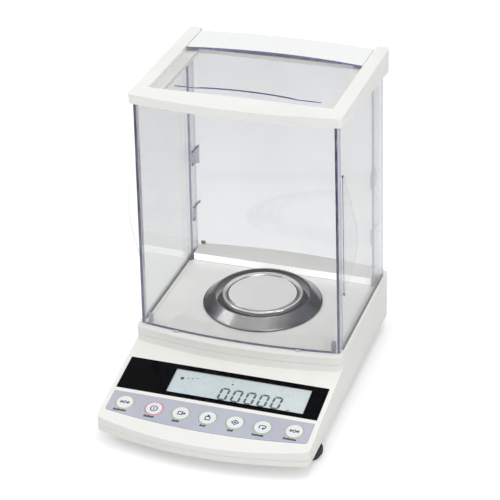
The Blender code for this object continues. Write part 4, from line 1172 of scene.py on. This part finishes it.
def make_sockets():
    """Contacts in the serial port, its jack posts, and the inlet's centre pin."""
    low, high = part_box("serial_port")
    middle_x, middle_z = (low.x + high.x) / 2, (low.z + high.z) / 2
    facing = Matrix.Rotation(math.radians(-90), 4, "X")
    bm = bmesh.new()
    pitch = 0.00275
    for count, z in ((5, middle_z + 0.0014), (4, middle_z - 0.0014)):
        for i in range(count):
            x = middle_x + pitch * (i - (count - 1) / 2)
            place = Matrix.Translation((x, high.y, z)) @ facing
            turned(bm, CONTACT_PROFILE, (0.0, 0.0), 16, matrix=place)
    piece("port_contacts", bm, "base", "screw_steel", PIN_GOLD)
    bm = bmesh.new()
    for sign in (-1, 1):
        place = Matrix.Translation((middle_x + sign * 0.0125, high.y - 0.0025, middle_z)) @ facing
        turned(bm, JACK_PROFILE, (0.0, 0.0), 6, matrix=place)
    piece("port_jack_posts", bm, "base", "screw_steel", SHELL_METAL)
    low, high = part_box("power_inlet")
    middle_x, middle_z = (low.x + high.x) / 2, (low.z + high.z) / 2
    bm = bmesh.new()
    place = Matrix.Translation((middle_x, high.y - 0.0095, middle_z)) @ facing
    profile = [(0.0, 0.0075), (0.0006, 0.0072), (0.0010, 0.0064), (0.0010, 0.0), (0.0, 0.0)]
    turned(bm, profile, (0.0, 0.0), 24, matrix=place)
    piece("inlet_pin", bm, "base", "screw_steel", SHELL_METAL)


# ---- stage, light and camera ----


FLOOR_GLOW = 0.28  # for the camera only, so that the floor comes out white


def make_stage():
    bm = bmesh.new()
    bmesh.ops.create_circle(bm, cap_ends=True, segments=96, radius=4.0)
    mesh = bpy.data.meshes.new("studio_floor")
    bm.to_mesh(mesh)
    bm.free()
    floor = added("studio_floor", mesh)
    look = Look("studio_floor")
    cloud = look.noise(3.0, 2.0)
    colour = look.blend(cloud, (0.80, 0.80, 0.80, 1.0), (0.82, 0.82, 0.82, 1.0))
    matt = look.node("ShaderNodeBsdfDiffuse", {"Color": colour}).outputs[0]
    seen = look.node("ShaderNodeLightPath").outputs["Is Camera Ray"]
    strength = look.math("MULTIPLY", seen, FLOOR_GLOW)
    glow = look.node("ShaderNodeEmission", {"Strength": strength}).outputs[0]
    shader = look.node("ShaderNodeAddShader", {0: matt, 1: glow}).outputs[0]
    mesh.materials.append(look.finish(shader))


def make_world():
    """White behind the object; overhead light that falls off to a dark horizon."""
    world = bpy.data.worlds.new("studio")
    bpy.context.scene.world = world
    world.use_nodes = True
    recipe = Recipe(world.node_tree)
    recipe.tree.nodes.clear()
    way = recipe.parts(recipe.node("ShaderNodeTexCoord").outputs["Generated"])
    rise = recipe.spread(way[2], 0.34, 0.60)
    front = recipe.spread(way[1], 0.2, -0.8)
    low = recipe.spread(front, 0.0, 1.0, 0.12, 0.42)
    strength = recipe.math("ADD", recipe.math("MULTIPLY", rise, 0.78), low)
    cool = (0.97, 0.985, 1.0, 1.0)
    white = (1.0, 1.0, 1.0, 1.0)
    soft = recipe.node("ShaderNodeBackground", {"Color": cool, "Strength": strength})
    plain = recipe.node("ShaderNodeBackground", {"Color": white, "Strength": 1.0})
    seen = recipe.node("ShaderNodeLightPath").outputs["Is Camera Ray"]
    shader = recipe.mixed(seen, soft.outputs[0], plain.outputs[0])
    recipe.node("ShaderNodeOutputWorld", {"Surface": shader})


def area_light(name, place, target, size, power):
    data = bpy.data.lights.new(name, "AREA")
    data.shape = "DISK"
    data.size = size
    data.energy = power
    light = added(name, data)
    light.location = place
    light.rotation_euler = (Vector(target) - Vector(place)).to_track_quat("-Z", "Y").to_euler()


def make_lights():
    area_light("key", (-1.50, -0.35, 1.35), (0.0, 0.0, 0.12), 0.90, 5.0)
    area_light("front", (0.30, -1.90, 1.00), (0.0, 0.0, 0.12), 1.10, 2.6)
    area_light("right", (1.90, -0.90, 0.55), (0.05, -0.05, 0.06), 0.80, 7.5)
    area_light("overhead", (0.35, 0.10, 1.90), (0.0, 0.05, 0.10), 0.80, 6.0)


CAMERA_ANGLES = (19.14, 29.09, -1.42)  # turn, tilt and roll, in degrees
CAMERA_AIM = Vector((-0.01249, 0.0500, 0.12273))
CAMERA_REACH = 1.78395
CAMERA_LENS = 128.41  # in millimetres


def make_camera():
    """The camera stands where the photo was taken from."""
    turn, tilt, roll = (math.radians(angle) for angle in CAMERA_ANGLES)
    back = Vector((math.sin(turn) * math.cos(tilt), -math.cos(turn) * math.cos(tilt), math.sin(tilt)))
    across = Vector((0.0, 0.0, 1.0)).cross(back).normalized()
    up = back.cross(across)
    right = across * math.cos(roll) + up * math.sin(roll)
    above = up * math.cos(roll) - across * math.sin(roll)
    data = bpy.data.cameras.new("camera")
    data.lens = CAMERA_LENS
    data.sensor_width = 36.0
    camera = added("camera", data)
    place = CAMERA_AIM + back * CAMERA_REACH
    facing = Matrix((right, above, back)).transposed().to_4x4()
    camera.matrix_world = Matrix.Translation(place) @ facing
    bpy.context.scene.camera = camera


make_camera()
make_world()
make_lights()
make_stage()
dress_nodes()
make_pan()
make_shade_disc()
make_draught_ring()
make_display_sheet()
make_digits()
make_lcd_signs()
make_keys()
make_captions()
make_corner_strips()
make_door_trim()
make_lid_line()
make_rear_catches()
make_ledge_clips()
make_pane_foot()
make_level()
make_knobs()
make_screws()
make_sockets()
bpy.context.scene.view_settings.view_transform = "Standard"
bpy.context.scene.cycles.transparent_max_bounces = 32
